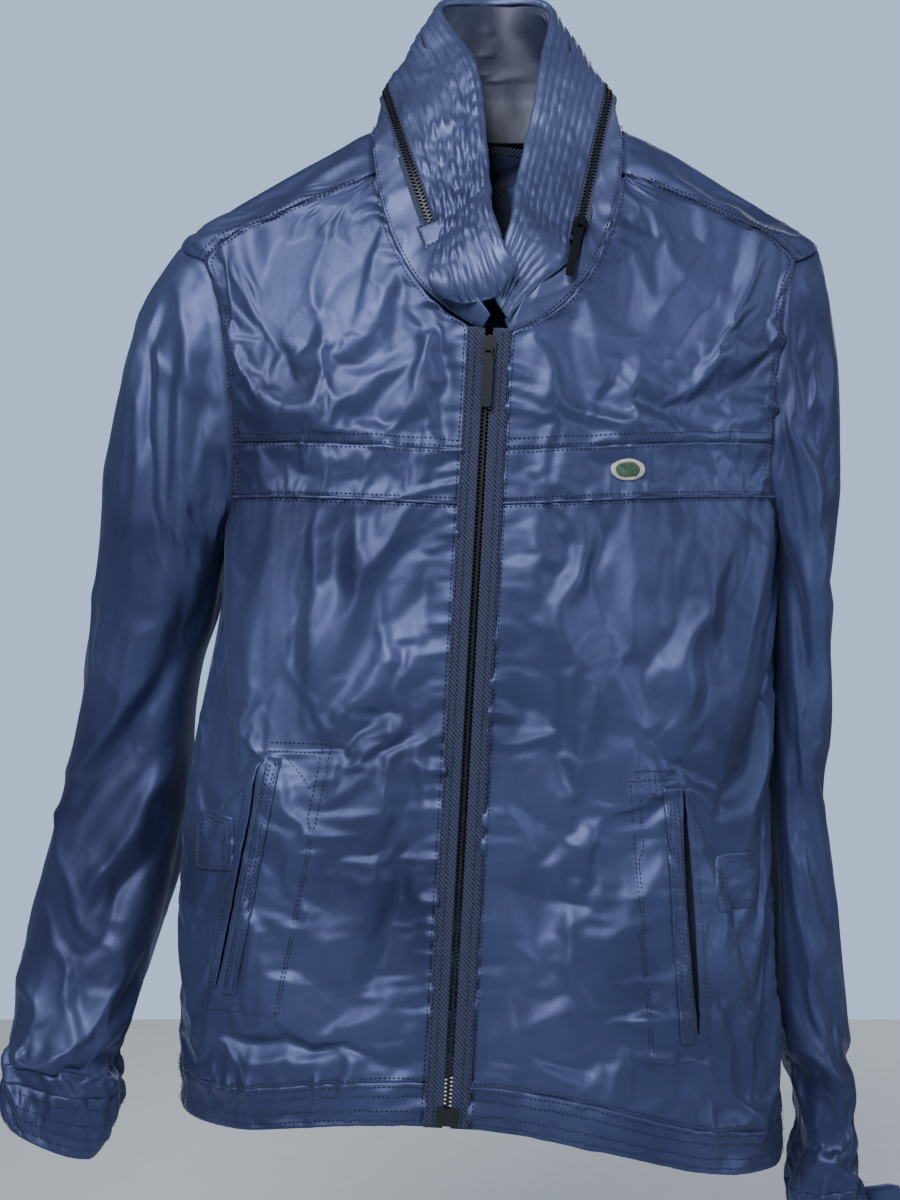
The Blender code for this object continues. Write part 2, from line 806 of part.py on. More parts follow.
def hood_strip(name, low, high, outer, thickness, ws, finish):
    """A strip along the hood zip between two distances across it."""

    def point(w, s):
        return hood_line(w) + hood_across(w) * s

    return cloth_solid(
        name,
        point,
        ws,
        [low, high],
        finish,
        behind(point),
        outer=outer,
        thickness=thickness,
    )


# ---------------------------------------------------------------- zips


def line_frame(origin, along, across_hint, out_hint):
    """A matrix from (across, along, out) to the drawing, with its origin on the zip's line."""
    along = along.normalized()
    across = (across_hint - along * across_hint.dot(along)).normalized()
    out = across.cross(along)
    if out.dot(out_hint) < 0:
        out = -out
    place = Matrix.Identity(4)
    for row in range(3):
        place[row][0], place[row][1], place[row][2] = across[row], along[row], out[row]
        place[row][3] = origin[row]
    return place


def zip_point(z):
    return Vector((zip_x(z), -front_depth(z), z))


def main_frame(z):
    along = zip_point(ZIP_TOP_Z - 0.01) - zip_point(ZIP_BOTTOM_Z)
    return line_frame(zip_point(z), along, Vector((1, 0, 0)), Vector((0, -1, 0)))


def zip_length(low, high):
    return (zip_point(high) - zip_point(low)).length


def cylinder(name, radius, length, sides, finish, place):
    """A cylinder along local across, centred on the local origin."""
    outline = [
        (radius * math.cos(2 * math.pi * k / sides), radius * math.sin(2 * math.pi * k / sides))
        for k in range(sides)
    ]
    turn = Matrix(((0, 0, 1, 0), (1, 0, 0, 0), (0, 1, 0, 0), (0, 0, 0, 1)))
    return prism(name, outline, -length / 2, length / 2, finish, place @ turn)


LUG_OUT = 0.0052


def slider(name, place, half_across, finish):
    """Two plates with a thin web between the rows of teeth, and a drilled lug for the pull."""
    outline = [
        (-half_across, 0.0050),
        (-half_across * 0.55, 0.0085),
        (half_across * 0.55, 0.0085),
        (half_across, 0.0050),
        (half_across * 0.85, -0.0080),
        (-half_across * 0.85, -0.0080),
    ]
    top = prism(name, outline, 0.0016, 0.0029, finish, place)
    bottom = prism("slider_bottom", outline, -0.0028, -0.0016, finish, place)
    web = cuboid("slider_web", (-0.0003, -0.0030, -0.0020), (0.0003, 0.0040, 0.0020), finish, place)
    lug = cuboid("slider_lug", (-0.0013, -0.0022, 0.0024), (0.0013, 0.0022, 0.0072), finish, place)
    combine(top, [bottom, web, lug], "UNION")
    hole = cylinder("slider_hole", 0.0012, 0.008, 16, finish, place @ Matrix.Translation((0, 0, LUG_OUT)))
    combine(top, [hole], "DIFFERENCE")
    return top


def pull(name, place, length, width, finish):
    """A forked pull hanging on a pin through the slider's lug."""
    pin_place = place @ Matrix.Translation((0, 0, LUG_OUT))
    pin = cylinder(name, 0.0009, 0.0062, 16, finish, pin_place)
    parts = []
    for side in (-1, 1):
        near, far = sorted((side * 0.0017, side * 0.0029))
        parts.append(
            cuboid("pull_arm", (near, -0.0045, -0.0010), (far, 0.0008, 0.0010), finish, pin_place)
        )
    half = width / 2
    blade = [
        (-0.0027, -0.0036),
        (0.0027, -0.0036),
        (half, -0.0090),
        (half, -length + 0.002),
        (half - 0.001, -length),
        (-half + 0.001, -length),
        (-half, -length + 0.002),
        (-half, -0.0090),
    ]
    parts.append(prism("pull_blade", blade, -0.0007, 0.0007, finish, pin_place))
    return combine(pin, parts, "UNION")


# ---------------------------------------------------------------- pockets and trim

# The slit of each pocket, upper and lower end as (x, z).
POCKETS = {
    -1: ((-0.1620, -0.4300), (-0.1930, -0.5880)),
    1: ((0.1235, -0.4480), (0.1345, -0.6180)),
}
SLIT_WIDTH = 0.0070
WELT_WIDTH = 0.0100


def slit_x(side, z):
    (top_x, top_z), (low_x, low_z) = POCKETS[side]
    return lerp(top_x, low_x, (top_z - z) / (top_z - low_z))


def strip_on_front(name, side, near, far, top_z, low_z, outer, thickness, finish, rows=6, columns=1):
    """A strip of cloth beside a pocket's slit, near and far metres towards the middle from it."""

    def point(across, t):
        z = lerp(low_z, top_z, t)
        return front_point(slit_x(side, z) - side * across, z)

    return cloth_solid(
        name,
        point,
        spread(near, far, columns),
        spread(0.0, 1.0, rows),
        finish,
        lambda u, v: Vector((0, 0.02, point(u, v).z)),
        outer=outer,
        thickness=thickness,
    )


def slit_cutter(side):
    """A prism through the front along the slit."""
    (top_x, top_z), (low_x, low_z) = POCKETS[side]
    half = SLIT_WIDTH / 2
    outline = [
        Vector((top_x - half, 0, top_z - 0.004)),
        Vector((top_x + half, 0, top_z - 0.004)),
        Vector((low_x + half, 0, low_z + 0.004)),
        Vector((low_x - half, 0, low_z + 0.004)),
    ]
    points = [p + Vector((0, y, 0)) for y in (-0.14, -0.0345) for p in outline]
    faces = [[0, 1, 2, 3], [7, 6, 5, 4]] + [[i, (i + 1) % 4, 4 + (i + 1) % 4, 4 + i] for i in range(4)]
    return add_mesh("slit_cutter", points, faces, DARK_CLOTH, smooth=False)


def pocket_bag(name, side, finish):
    """A thin-walled bag behind the slit, with an opening that lines up with it."""
    (_, top_z), (_, low_z) = POCKETS[side]
    near, far = -0.010, 0.085
    skin, depth = 0.0012, 0.0150
    bag = strip_on_front(
        name, side, near, far, top_z + 0.006, low_z - 0.030, -(CLOTH + 0.0006), depth, finish, 6, 4
    )
    hollow = strip_on_front(
        "hollow",
        side,
        near + skin,
        far - skin,
        top_z + 0.006 - skin,
        low_z - 0.030 + skin,
        -(CLOTH + 0.0006 + skin),
        depth - 2 * skin,
        finish,
        6,
        4,
    )
    combine(bag, [hollow], "DIFFERENCE")
    return combine(bag, [shallow_cutter(side)], "DIFFERENCE")


def shallow_cutter(side):
    """A prism that opens only the front wall of the pocket bag."""

    def point(across, t):
        (_, top_z), (_, low_z) = POCKETS[side]
        z = lerp(low_z + 0.004, top_z - 0.004, t)
        return front_point(slit_x(side, z) - side * across, z)

    return cloth_solid(
        "shallow_cutter",
        point,
        spread(-SLIT_WIDTH / 2, SLIT_WIDTH / 2, 1),
        spread(0.0, 1.0, 6),
        DARK_CLOTH,
        lambda u, v: Vector((0, 0.02, point(u, v).z)),
        outer=0.002,
        thickness=0.0075,
    )


def patch_on_body(name, outline_angles, zs, outer, thickness, finish):
    """A small rounded patch that follows the body, between two angles and two heights."""
    low_angle, high_angle = outline_angles
    low_z, high_z = zs

    def point(u, v):
        shrink = 1 - 0.10 * (2 * abs(v - 0.5)) ** 4
        middle = (low_angle + high_angle) / 2
        pinch = 1 - 0.10 * (2 * abs(u - 0.5)) ** 4
        z = lerp(low_z, high_z, 0.5 + (v - 0.5) * pinch)
        return body(lerp(middle, lerp(low_angle, high_angle, u), shrink), z)

    return cloth_solid(
        name,
        point,
        spread(0.0, 1.0, 6),
        spread(0.0, 1.0, 5),
        finish,
        lambda u, v: Vector((0, 0, point(u, v).z)),
        outer=outer,
        thickness=thickness,
    )


def hang_loop(name, finish):
    """A flat tape sewn down at both ends; its middle stands off and a hook goes under it."""
    outer, inner = [], []
    for z in (HOOK.z, HOOK.z + 0.006):
        row = []
        for u in spread(-1.0, 1.0, 12):
            stand_off = math.cos(u * math.pi / 2) ** 2
            row.append(Vector((0.032 * u, lerp(0.0497, HOOK.y + 0.0006, stand_off), z)))
        outer.append(row)
        inner.append([p + Vector((0, -0.0012, 0)) for p in row])
    return grid_solid(name, outer, inner, finish)


def cuff_tab(name, side, rings, finish):
    """The loose end of the cuff's strap, hinged where it is sewn to the cuff."""
    root, reach, lift = tab_frame(side, rings)
    points = []
    half_height, half_thick = 0.0090, 0.0009
    for share, height in ((0.0, 1.0), (0.80, 1.0), (1.0, 0.7)):
        for across in (-1, 1):
            for out in (-1, 1):
                points.append(
                    root
                    + reach * (0.0016 + 0.026 * share)
                    + lift * (across * half_height * height)
                    + reach.cross(lift).normalized() * (out * half_thick)
                )
    faces = [[0, 1, 3, 2], [8, 10, 11, 9]]
    for k in (0, 4):
        faces += [
            [k, k + 4, k + 5, k + 1],
            [k + 2, k + 3, k + 7, k + 6],
            [k, k + 2, k + 6, k + 4],
            [k + 1, k + 5, k + 7, k + 3],
        ]
    return add_mesh(name, points, faces, finish, smooth=False)


def tab_frame(side, rings):
    """(root, reach, lift): where the tab is sewn on, which way it points, and the hinge's direction."""
    outer, inner = rings[1][0], rings[1][1]
    down = Vector((rings[2][0][0] - rings[0][0][0], 0, rings[2][0][1] - rings[0][0][1])).normalized()
    reach = Vector((side * 0.93, -0.36, 0.05))
    reach = (reach - down * reach.dot(down)).normalized()
    return Vector((outer[0] + side * 0.0006, rings[1][2] - 0.004, outer[1])), reach, down


# ---------------------------------------------------------------- the jacket

for old in list(bpy.data.objects):
    bpy.data.objects.remove(old)

SHELL = material("shell_nylon", NAVY, 0.42)
TWILL = material("trim_twill", NAVY_DARK, 0.75)
DARK_CLOTH = material("dark_lining", NAVY_DARK, 0.80)
MESH_CLOTH = material("blue_mesh", MESH_BLUE, 0.70)
TEETH = material("black_moulded_teeth", BLACK, 0.35)
METAL = material("dark_metal", STEEL, 0.35, 1.0)
BADGE = material("badge_face", (0.75, 0.76, 0.74, 1), 0.60)
LABEL = material("label_tape", (0.55, 0.56, 0.58, 1), 0.75)

SIDES = {"right": -1, "left": 1}

for word, side in SIDES.items():
    front_upper(f"front_upper_{word}", side, SHELL)
    front_panel(
        f"chest_band_{word}",
        side,
        lambda u: piping_z(u) + GAP,
        lambda u: chest_seam_z(u) - GAP,
        12,
        3,
        SHELL,
    )
    lower = front_panel(
        f"front_lower_{word}",
        side,
        lambda u, s=side: hem_seam_z(s * lerp(3, 89.7, u)) + GAP,
        lambda u: piping_z(u) - GAP,
        12,
        11,
        SHELL,
    )
    combine(lower, [slit_cutter(side)], "DIFFERENCE")
    front_panel(
        f"hem_front_{word}",
        side,
        lambda u, s=side: HEM_Z(s * lerp(3, 89.7, u)),
        lambda u, s=side: hem_seam_z(s * lerp(3, 89.7, u)) - GAP,
        12,
        1,
        SHELL,
    )
    piping(f"piping_{word}", side, TWILL)
    strip_on_front(
        f"pocket_welt_{word}",
        side,
        SLIT_WIDTH / 2 + 0.0008,
        SLIT_WIDTH / 2 + 0.0008 + WELT_WIDTH,
        POCKETS[side][0][1] + 0.002,
        POCKETS[side][1][1] - 0.002,
        0.0026,
        0.0020,
        SHELL,
    )
    pocket_bag(f"pocket_bag_{word}", side, DARK_CLOTH)

yoke("shoulder_yoke", SHELL)
back_panel("back_panel", SHELL)
hem_back("hem_back", SHELL)
patch_on_body("waist_tab_right", (-62.0, -50.0), (-0.508, -0.468), 0.0022, 0.0016, SHELL)
patch_on_body("waist_tab_left", (52.0, 64.0), (-0.535, -0.495), 0.0022, 0.0016, SHELL)

BADGE_MIDDLE = angle_at(0.0860, -0.2330)
patch_on_body(
    "chest_badge",
    (BADGE_MIDDLE - 3.6, BADGE_MIDDLE + 3.6),
    (-0.2405, -0.2255),
    0.0020,
    0.0014,
    BADGE,
)

sleeve("sleeve_right", -1, RIGHT_RINGS, SHELL)
sleeve("sleeve_left", 1, LEFT_RINGS, SHELL)
cuff("cuff_right", RIGHT_CUFF, SHELL)
cuff("cuff_left", LEFT_CUFF, SHELL)
cuff_tab("cuff_tab_right", -1, RIGHT_CUFF, SHELL)
cuff_tab("cuff_tab_left", 1, LEFT_CUFF, SHELL)

lower_band("collar_lower_band", SHELL)
upper_band("collar_quilted_band", SHELL)
inset_solid(
    "collar_lining",
    COLLAR_STEPS,
    spread(0.02, 0.97, 5),
    collar_inset,
    lambda w, v: collar_inset(w, v) + 0.0012,
    DARK_CLOTH,
)
inset_solid(
    "stowed_hood",
    [w for w in COLLAR_STEPS if abs(w) < 0.29],
    spread(0.44, 0.76, 4),
    lambda w, v: COLLAR_CLOTH + 0.0008,
    lambda w, v: collar_inset(w, v) - 0.0008,
    SHELL,
)

hood_strip("hood_zip_tape_upper", HOOD_TAPE_INNER, HOOD_TAPE_HALF, 0.0007, 0.0014, ZIP_STEPS, TWILL)
hood_strip("hood_zip_tape_lower", -HOOD_TAPE_HALF, -HOOD_TAPE_INNER, 0.0007, 0.0014, ZIP_STEPS, TWILL)
hood_strip("hood_zip_teeth_upper", TEETH_INNER, TEETH_OUTER, 0.0012, 0.0024, ZIP_STEPS, TEETH)
hood_strip("hood_zip_teeth_lower", -TEETH_OUTER, -TEETH_INNER, 0.0012, 0.0024, ZIP_STEPS, TEETH)

WHOLE_ZIP = zip_length(ZIP_BOTTOM_Z, ZIP_TOP_Z)
ZIP_PLACE = main_frame(ZIP_BOTTOM_Z)
for word, side in SIDES.items():
    near, far = sorted((side * TAPE_INNER, side * TAPE_HALF))
    cuboid(
        f"zip_tape_{word}",
        (near, 0, -TAPE_HALF_THICK),
        (far, WHOLE_ZIP, TAPE_HALF_THICK),
        TWILL,
        ZIP_PLACE,
    )
    near, far = sorted((side * TEETH_INNER, side * TEETH_OUTER))
    cuboid(
        f"zip_teeth_{word}",
        (near, 0.0, -TEETH_HALF_THICK),
        (far, WHOLE_ZIP - 0.004, TEETH_HALF_THICK),
        TEETH,
        ZIP_PLACE,
    )
cuboid("zip_box", (-0.0070, -0.0125, -0.0022), (0.0070, -0.0006, 0.0022), TEETH, ZIP_PLACE)

SLIDER_REST_Z = -0.1520
MAIN_PLACE = main_frame(SLIDER_REST_Z)
slider("zip_slider", MAIN_PLACE, 0.0055, METAL)
pull("zip_pull", MAIN_PLACE, 0.040, 0.0075, METAL)

HOOD_ALONG = (HOOD_ZIP_HIGH - HOOD_ZIP_LOW).normalized()
HOOD_REST = HOOD_ZIP_LOW + HOOD_ALONG * 0.0110
HOOD_PLACE = line_frame(HOOD_REST, HOOD_ALONG, hood_across(0.5), Vector((1, -0.4, 0)))
slider("hood_slider", HOOD_PLACE, 0.0052, METAL)
pull("hood_pull", HOOD_PLACE, 0.046, 0.0060, METAL)

PATCH_END = hood_line(-0.70)
PATCH_ALONG = (hood_line(-0.69) - hood_line(-0.71)).normalized()
PATCH_PLACE = line_frame(PATCH_END, PATCH_ALONG, hood_across(-0.70), Vector((-1, -0.6, 0)))
cuboid("hood_zip_patch", (-0.0095, -0.0200, 0.0018), (0.0095, 0.0000, 0.0034), TWILL, PATCH_PLACE)

patch_on_body("back_mesh", (142.0, 218.0), (-0.095, -0.010), -(CLOTH + 0.0020), 0.0010, MESH_CLOTH)
patch_on_body("neck_label", (177.2, 182.8), (-0.055, -0.008), -(CLOTH + 0.0036), 0.0008, LABEL)
hang_loop("hang_loop", TWILL)
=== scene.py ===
"""The looks of the foul weather jacket: sewn nylon panels with their folds, seams, stitching, zips and trims.

Every panel is a grid of points laid on the jacket's surface and given its folds. The fronts, back, yoke and
sleeves are then settled by a short cloth simulation with their seams held. Lengths are in metres. The jacket
is drawn about the middle of its neck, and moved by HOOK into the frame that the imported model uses. Right and
left are the wearer's.
"""

import math

import bmesh
import bpy
import numpy as np
from mathutils import Matrix, Vector
from mathutils.bvhtree import BVHTree


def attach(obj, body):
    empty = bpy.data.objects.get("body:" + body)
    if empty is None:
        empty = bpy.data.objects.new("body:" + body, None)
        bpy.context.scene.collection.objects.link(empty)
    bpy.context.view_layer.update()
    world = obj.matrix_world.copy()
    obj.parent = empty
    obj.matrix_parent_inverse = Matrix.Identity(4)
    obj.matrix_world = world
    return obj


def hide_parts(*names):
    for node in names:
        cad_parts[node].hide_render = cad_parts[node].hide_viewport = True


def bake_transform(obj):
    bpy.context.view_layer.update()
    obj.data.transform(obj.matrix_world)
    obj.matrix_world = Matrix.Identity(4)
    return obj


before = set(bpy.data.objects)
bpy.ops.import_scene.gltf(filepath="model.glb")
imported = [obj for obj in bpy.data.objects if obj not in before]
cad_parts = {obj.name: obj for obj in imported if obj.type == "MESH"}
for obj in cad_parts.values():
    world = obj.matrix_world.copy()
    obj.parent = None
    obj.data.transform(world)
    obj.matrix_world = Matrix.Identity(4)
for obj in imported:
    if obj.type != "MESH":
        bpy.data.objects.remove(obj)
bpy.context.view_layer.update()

SIDES = {"right": -1, "left": 1}
HOOK = Vector((0.0, 0.036, 0.012))  # hook point of the hang loop, in the drawing frame
# ---------------- the jacket's measures

ROUNDNESS = 2.4  # exponent of the body's cross-section: 2 is an ellipse

ZIP_TOP_Z = -0.1375
ZIP_BOTTOM_Z = -0.656
ZIP_REF_Z = -0.14
ZIP_REF_X = -0.0075
ZIP_LEAN = 0.0548  # how far the zip runs to the wearer's right for each metre down
FRONT_REF_DEPTH = 0.08
FRONT_FLARE = 0.0377  # how much deeper the front is for each metre below the neck
TAPE_HALF = 0.0145  # from the middle of the zip to the edge of its tape

NECK_HALF_WIDTH = 0.0895
NECK_SIDE_Z = 0.02
NECK_DROP = 0.16
SIDE_SHARE = 0.33  # share of each half of the collar that lies behind the shoulder line
ZIP_END = 0.7  # share of each half of the collar where the hood zip ends

CHEST_SEAM_Z, CHEST_SEAM_DIP = -0.212, 0.008
PIPING_Z, PIPING_DIP = -0.249, 0.007
HEM_HEIGHT = 0.028
BACK_YOKE_Z = -0.11
UNDERARM_Z = -0.285
YOKE_SIDE, YOKE_FRONT = 0.35, 0.55  # shares of half the yoke at the side and front of the neck
SHOULDER_TIP = (0.23, -0.062)

HOOD_TAPE_HALF = 0.0054  # from the middle of the hood zip to the edge of its tape
HOOD_ZIP_LOW = Vector((0.0525, -0.061, -0.0745))  # ends of its straight stretch
HOOD_ZIP_HIGH = Vector((0.081, 0.002, 0.0435))
HOOD_ZIP_UP = Vector((-0.04, 0.016, 0.049))  # across that stretch, towards the collar's top edge

# ---------------- small helpers


def lerp(a, b, t):
    return a + (b - a) * t


def spread(low, high, count):
    """count + 1 values from low to high."""
    return [lerp(low, high, i / count) for i in range(count + 1)]


def curve(*knots):
    """A smooth function through (key, value) knots; a value is a number or a Vector."""
    keys = [k for k, _ in knots]
    values = [v for _, v in knots]
    last = len(keys) - 1

    def slope(i):
        low, high = max(i - 1, 0), min(i + 1, last)
        return (values[high] - values[low]) / (keys[high] - keys[low])

    def value(key):
        key = min(max(key, keys[0]), keys[-1])
        i = max(j for j in range(last) if keys[j] <= key) if key > keys[0] else 0
        span = keys[i + 1] - keys[i]
        t = (key - keys[i]) / span
        rise = values[i + 1] - values[i]
        ends = slope(i) * span, slope(i + 1) * span
        return (
            values[i]
            + rise * (3 * t * t - 2 * t**3)
            + ends[0] * (t - 2 * t * t + t**3)
            + ends[1] * (t**3 - t * t)
        )

    return value


def path(*knots):
    """A smooth line in space through (key, x, y, z) knots."""
    return curve(*((key, Vector(place)) for key, *place in knots))


# ---------------- the body's surface

HALF_WIDTH = curve(
    (-0.74, 0.216),
    (-0.466, 0.2113),
    (UNDERARM_Z, 0.199),
    (-0.2, 0.213),
    (-0.1, 0.228),
    (-0.075, 0.2315),
    (-0.062, 0.2265),
    (-0.045, 0.2015),
    (-0.02, 0.159),
    (0.000, 0.124),
    (0.02, NECK_HALF_WIDTH),
)
CENTRE_X = curve((-0.74, -0.0115), (-0.466, -0.0133), (UNDERARM_Z, 0.0025), (0.02, 0.0))
FRONT_ABOVE = curve(
    (ZIP_REF_Z, FRONT_REF_DEPTH),
    (-0.1, 0.07),
    (-0.062, 0.056),
    (-0.02, 0.04),
    (0.02, 0.024),
)
BACK_DEPTH = curve(
    (-0.74, 0.076),
    (-0.3, 0.072),
    (-0.14, 0.07),
    (-0.062, 0.062),
    (0.02, 0.054),
)
ARMHOLE_SIDE = curve(
    (UNDERARM_Z, 88.5),
    (-0.25, 67.5),
    (-0.2, 60.5),
    (-0.14, 59.0),
    (-0.11, 59.5),
    (-0.083, 62.0),
)
HEM_Z = curve(
    (-180.0, -0.69),
    (-90.0, -0.68),
    (-45.0, -0.68),
    (0.0, -0.67),
    (45.0, -0.708),
    (90.0, -0.716),
    (180.0, -0.69),
)


def front_depth(z):
    """From the body's middle to its front at this height."""
    if z > ZIP_REF_Z:
        return FRONT_ABOVE(z)
    return FRONT_REF_DEPTH + FRONT_FLARE * (ZIP_REF_Z - z)


def power(value):
    """The superellipse's rounding of a sine or cosine."""
    return math.copysign(abs(value) ** (2 / ROUNDNESS), value)


def body(angle, z):
    """The body's outer surface. angle is 0 at the front, 90 at the wearer's left side, in degrees."""
    a = math.radians(angle)
    depth = front_depth(z) if math.cos(a) > 0 else BACK_DEPTH(z)
    return Vector(
        (CENTRE_X(z) + HALF_WIDTH(z) * power(math.sin(a)), -depth * power(math.cos(a)), z)
    )


def angle_at(x, z):
    """The angle of the front point of the body at this x and z, between -90 and 90 degrees."""
    share = min(max((x - CENTRE_X(z)) / HALF_WIDTH(z), -1), 1)
    return math.degrees(math.asin(math.copysign(abs(share) ** (ROUNDNESS / 2), share)))


def zip_x(z):
    """Where the middle of the front zip runs; it leans to the wearer's right."""
    return ZIP_REF_X + ZIP_LEAN * (z - ZIP_REF_Z)


def neckline_x(z):
    """Half the width of the neckline at this height."""
    share = min((NECK_SIDE_Z - z) / NECK_DROP, 1)
    return NECK_HALF_WIDTH * math.sqrt(max(1 - share * share, 0))


YOKE_LOW_Z, YOKE_HIGH_Z = -0.083, -0.021  # ends of the seam below the shoulder


def armhole_front(z):
    """The angle of the armhole's front edge at this height."""
    if z > YOKE_LOW_Z:
        share = (z - YOKE_LOW_Z) / (SHOULDER_TIP[1] - YOKE_LOW_Z)
        return lerp(ARMHOLE_SIDE(YOKE_LOW_Z), 90, min(share, 1))
    return ARMHOLE_SIDE(z)


def armhole_back(z):
    """The angle from the middle of the back to the armhole's back edge at this height."""
    if z > BACK_YOKE_Z:
        share = (z - BACK_YOKE_Z) / (SHOULDER_TIP[1] - BACK_YOKE_Z)
        return lerp(ARMHOLE_SIDE(BACK_YOKE_Z), 90, min(share, 1))
    return ARMHOLE_SIDE(z)


def seam_angle(side, z):
    """The angle of the seam below the shoulder at this height."""
    high = abs(angle_at(side * 0.088, YOKE_HIGH_Z))
    return lerp(armhole_front(YOKE_LOW_Z), high, (z - YOKE_LOW_Z) / (YOKE_HIGH_Z - YOKE_LOW_Z))


def chest_seam_z(share):
    """share is 0 at the zip and 1 at the armhole."""
    return CHEST_SEAM_Z - CHEST_SEAM_DIP * (1 - share) ** 2


def piping_z(share):
    return PIPING_Z - PIPING_DIP * (1 - share) ** 2


def hem_seam_z(angle):
    return HEM_Z(angle) + HEM_HEIGHT


# ---------------- edges of the panels


def yoke_line(side, out):
    """(start, top, end) of one line across the yoke, as (angle, z) pairs; out is 0 to 1 from middle to tip.

    Out on the shoulder a line runs from the front seam over the shoulder line and down the back. Nearer the
    neck it starts on the neckline.
    """
    neck_z = NECK_SIDE_Z
    end = lerp(180, 180 - armhole_back(BACK_YOKE_Z), out), BACK_YOKE_Z
    side_top = lerp(90, 180, 0.3), -0.03
    front_top = 90, -0.036
    if out <= YOKE_SIDE:
        share = out / YOKE_SIDE
        start = lerp(180, 90, share), neck_z
        return start, (lerp(180, side_top[0], share), side_top[1]), end
    if out <= YOKE_FRONT:
        share = (out - YOKE_SIDE) / (YOKE_FRONT - YOKE_SIDE)
        z = lerp(neck_z, YOKE_HIGH_Z, share)
        near = abs(angle_at(side * neckline_x(z), z))
        start = lerp(90, near, min(share * 8, 1)), z
        return start, (lerp(side_top[0], 90, share), lerp(side_top[1], front_top[1], share)), end
    share = (out - YOKE_FRONT) / (1 - YOKE_FRONT)
    z = lerp(YOKE_HIGH_Z, YOKE_LOW_Z, share)
    return (seam_angle(side, z), z), (90, lerp(front_top[1], SHOULDER_TIP[1], share)), end


# ---------------- sleeves

# Rings down each sleeve: outer (x, z), inner (x, z), middle y, half depth. The armhole comes before them.
RIGHT_RINGS = (
    ((-0.258, -0.105), (-0.2065, -0.3), 0.012, 0.056),
    ((-0.279, -0.17), (-0.2135, -0.328), 0.018, 0.056),
    ((-0.2935, -0.245), (-0.2255, -0.362), 0.026, 0.054),
    ((-0.305, -0.33), (-0.2335, -0.412), 0.034, 0.052),
    ((-0.3185, -0.412), (-0.2335, -0.46), 0.038, 0.05),
    ((-0.333, -0.49), (-0.2405, -0.515), 0.032, 0.048),
    ((-0.348, -0.565), (-0.256, -0.575), 0.015, 0.044),
    ((-0.358, -0.628), (-0.265, -0.632), -0.008, 0.038),
    ((-0.352, -0.655), (-0.27, -0.672), -0.018, 0.03),
)
RIGHT_CUFF = (
    ((-0.3515, -0.658), (-0.2705, -0.675), -0.018, 0.029),
    ((-0.351, -0.672), (-0.276, -0.699), -0.024, 0.026),
    ((-0.347, -0.686), (-0.284, -0.713), -0.028, 0.026),
)
LEFT_RINGS = (
    ((0.2435, -0.12), (0.207, -0.302), 0.008, 0.054),
    ((0.2455, -0.2), (0.2085, -0.33), 0.016, 0.055),
    ((0.2465, -0.28), (0.208, -0.365), 0.026, 0.056),
    ((0.2475, -0.36), (0.203, -0.42), 0.038, 0.056),
    ((0.247, -0.44), (0.1995, -0.475), 0.044, 0.055),
    ((0.253, -0.512), (0.1995, -0.53), 0.042, 0.054),
    ((0.261, -0.58), (0.2015, -0.59), 0.034, 0.05),
    ((0.264, -0.64), (0.208, -0.65), 0.02, 0.045),
    ((0.26, -0.69), (0.2105, -0.698), 0.008, 0.04),
    ((0.2575, -0.735), (0.212, -0.742), -0.002, 0.033),
)
LEFT_CUFF = (
    ((0.2575, -0.738), (0.2122, -0.745), -0.002, 0.032),
    ((0.2625, -0.752), (0.2125, -0.76), -0.006, 0.028),
    ((0.267, -0.767), (0.2145, -0.774), -0.01, 0.027),
)


def armhole_point(side, turn):
    """The sleeve's edge: turn 0 is at the shoulder tip, 90 at the front, 180 under the arm."""
    a = math.radians(turn)
    top, low = SHOULDER_TIP[1], UNDERARM_Z
    z = (top + low) / 2 + (top - low) / 2 * math.cos(a)
    edge = body(side * (armhole_front(z) if math.sin(a) > 0 else 180 - armhole_back(z)), z)
    if abs(math.sin(a)) < 1e-6:
        edge.y = 0
    return edge


def ring_point(ring, turn):
    """The point of a sleeve's ring at this turn from its outer end, by way of its front."""
    outer, inner, middle_y, half_depth = ring
    a = math.radians(turn)
    cos, sin = math.cos(a), math.sin(a)
    cos = math.copysign(abs(cos) ** 0.88, cos)
    sin = math.copysign(abs(sin) ** 0.88, sin)
    middle = Vector((outer[0] + inner[0], 0, outer[1] + inner[1])) / 2
    reach = Vector((outer[0] - inner[0], 0, outer[1] - inner[1])) / 2
    return middle + reach * cos + Vector((0, middle_y - half_depth * sin, 0))


def tube_surface(rings, first=None):
    """point(turn, t) through the rings, t counting rings; first(turn) is the ring before them."""

    def point(turn, t):
        knots = [(0.0, first(turn))] if first else []
        knots += [(float(len(knots) + i), ring_point(ring, turn)) for i, ring in enumerate(rings)]
        return curve(*knots)(t)

    return point


# ---------------- collar

# Where the collar's top edge runs, by share: -1 is the wearer's right front, 0 the back, 1 the left front.
COLLAR_TOP = path(
    (-1.0, -0.005, -0.089, -0.113),
    (-0.9, -0.0035, -0.08, -0.085),
    (-0.78, -0.0065, -0.065, -0.048),
    (-0.66, -0.0095, -0.047, -0.008),
    (-0.54, -0.012, -0.028, 0.033),
    (-0.42, -0.0175, -0.009, 0.067),
    (-0.2, -0.042, 0.028, 0.121),
    (0.0, 0.0, 0.047, 0.131),
    (0.2, 0.04, 0.028, 0.12),
    (0.42, 0.031, -0.009, 0.058),
    (0.54, 0.0257, -0.028, 0.018),
    (0.66, 0.021, -0.045, -0.018),
    (0.78, 0.017, -0.06, -0.048),
    (0.9, 0.0134, -0.073, -0.078),
    (1.0, 0.0105, -0.089, -0.113),
)
COLLAR_DEPTH = curve(
    (0.0, 0.0095),
    (0.2, 0.0072),
    (SIDE_SHARE, 0.0056),
    (0.72, 0.0056),
    (0.85, 0.0042),
    (1.0, 0.0032),
)


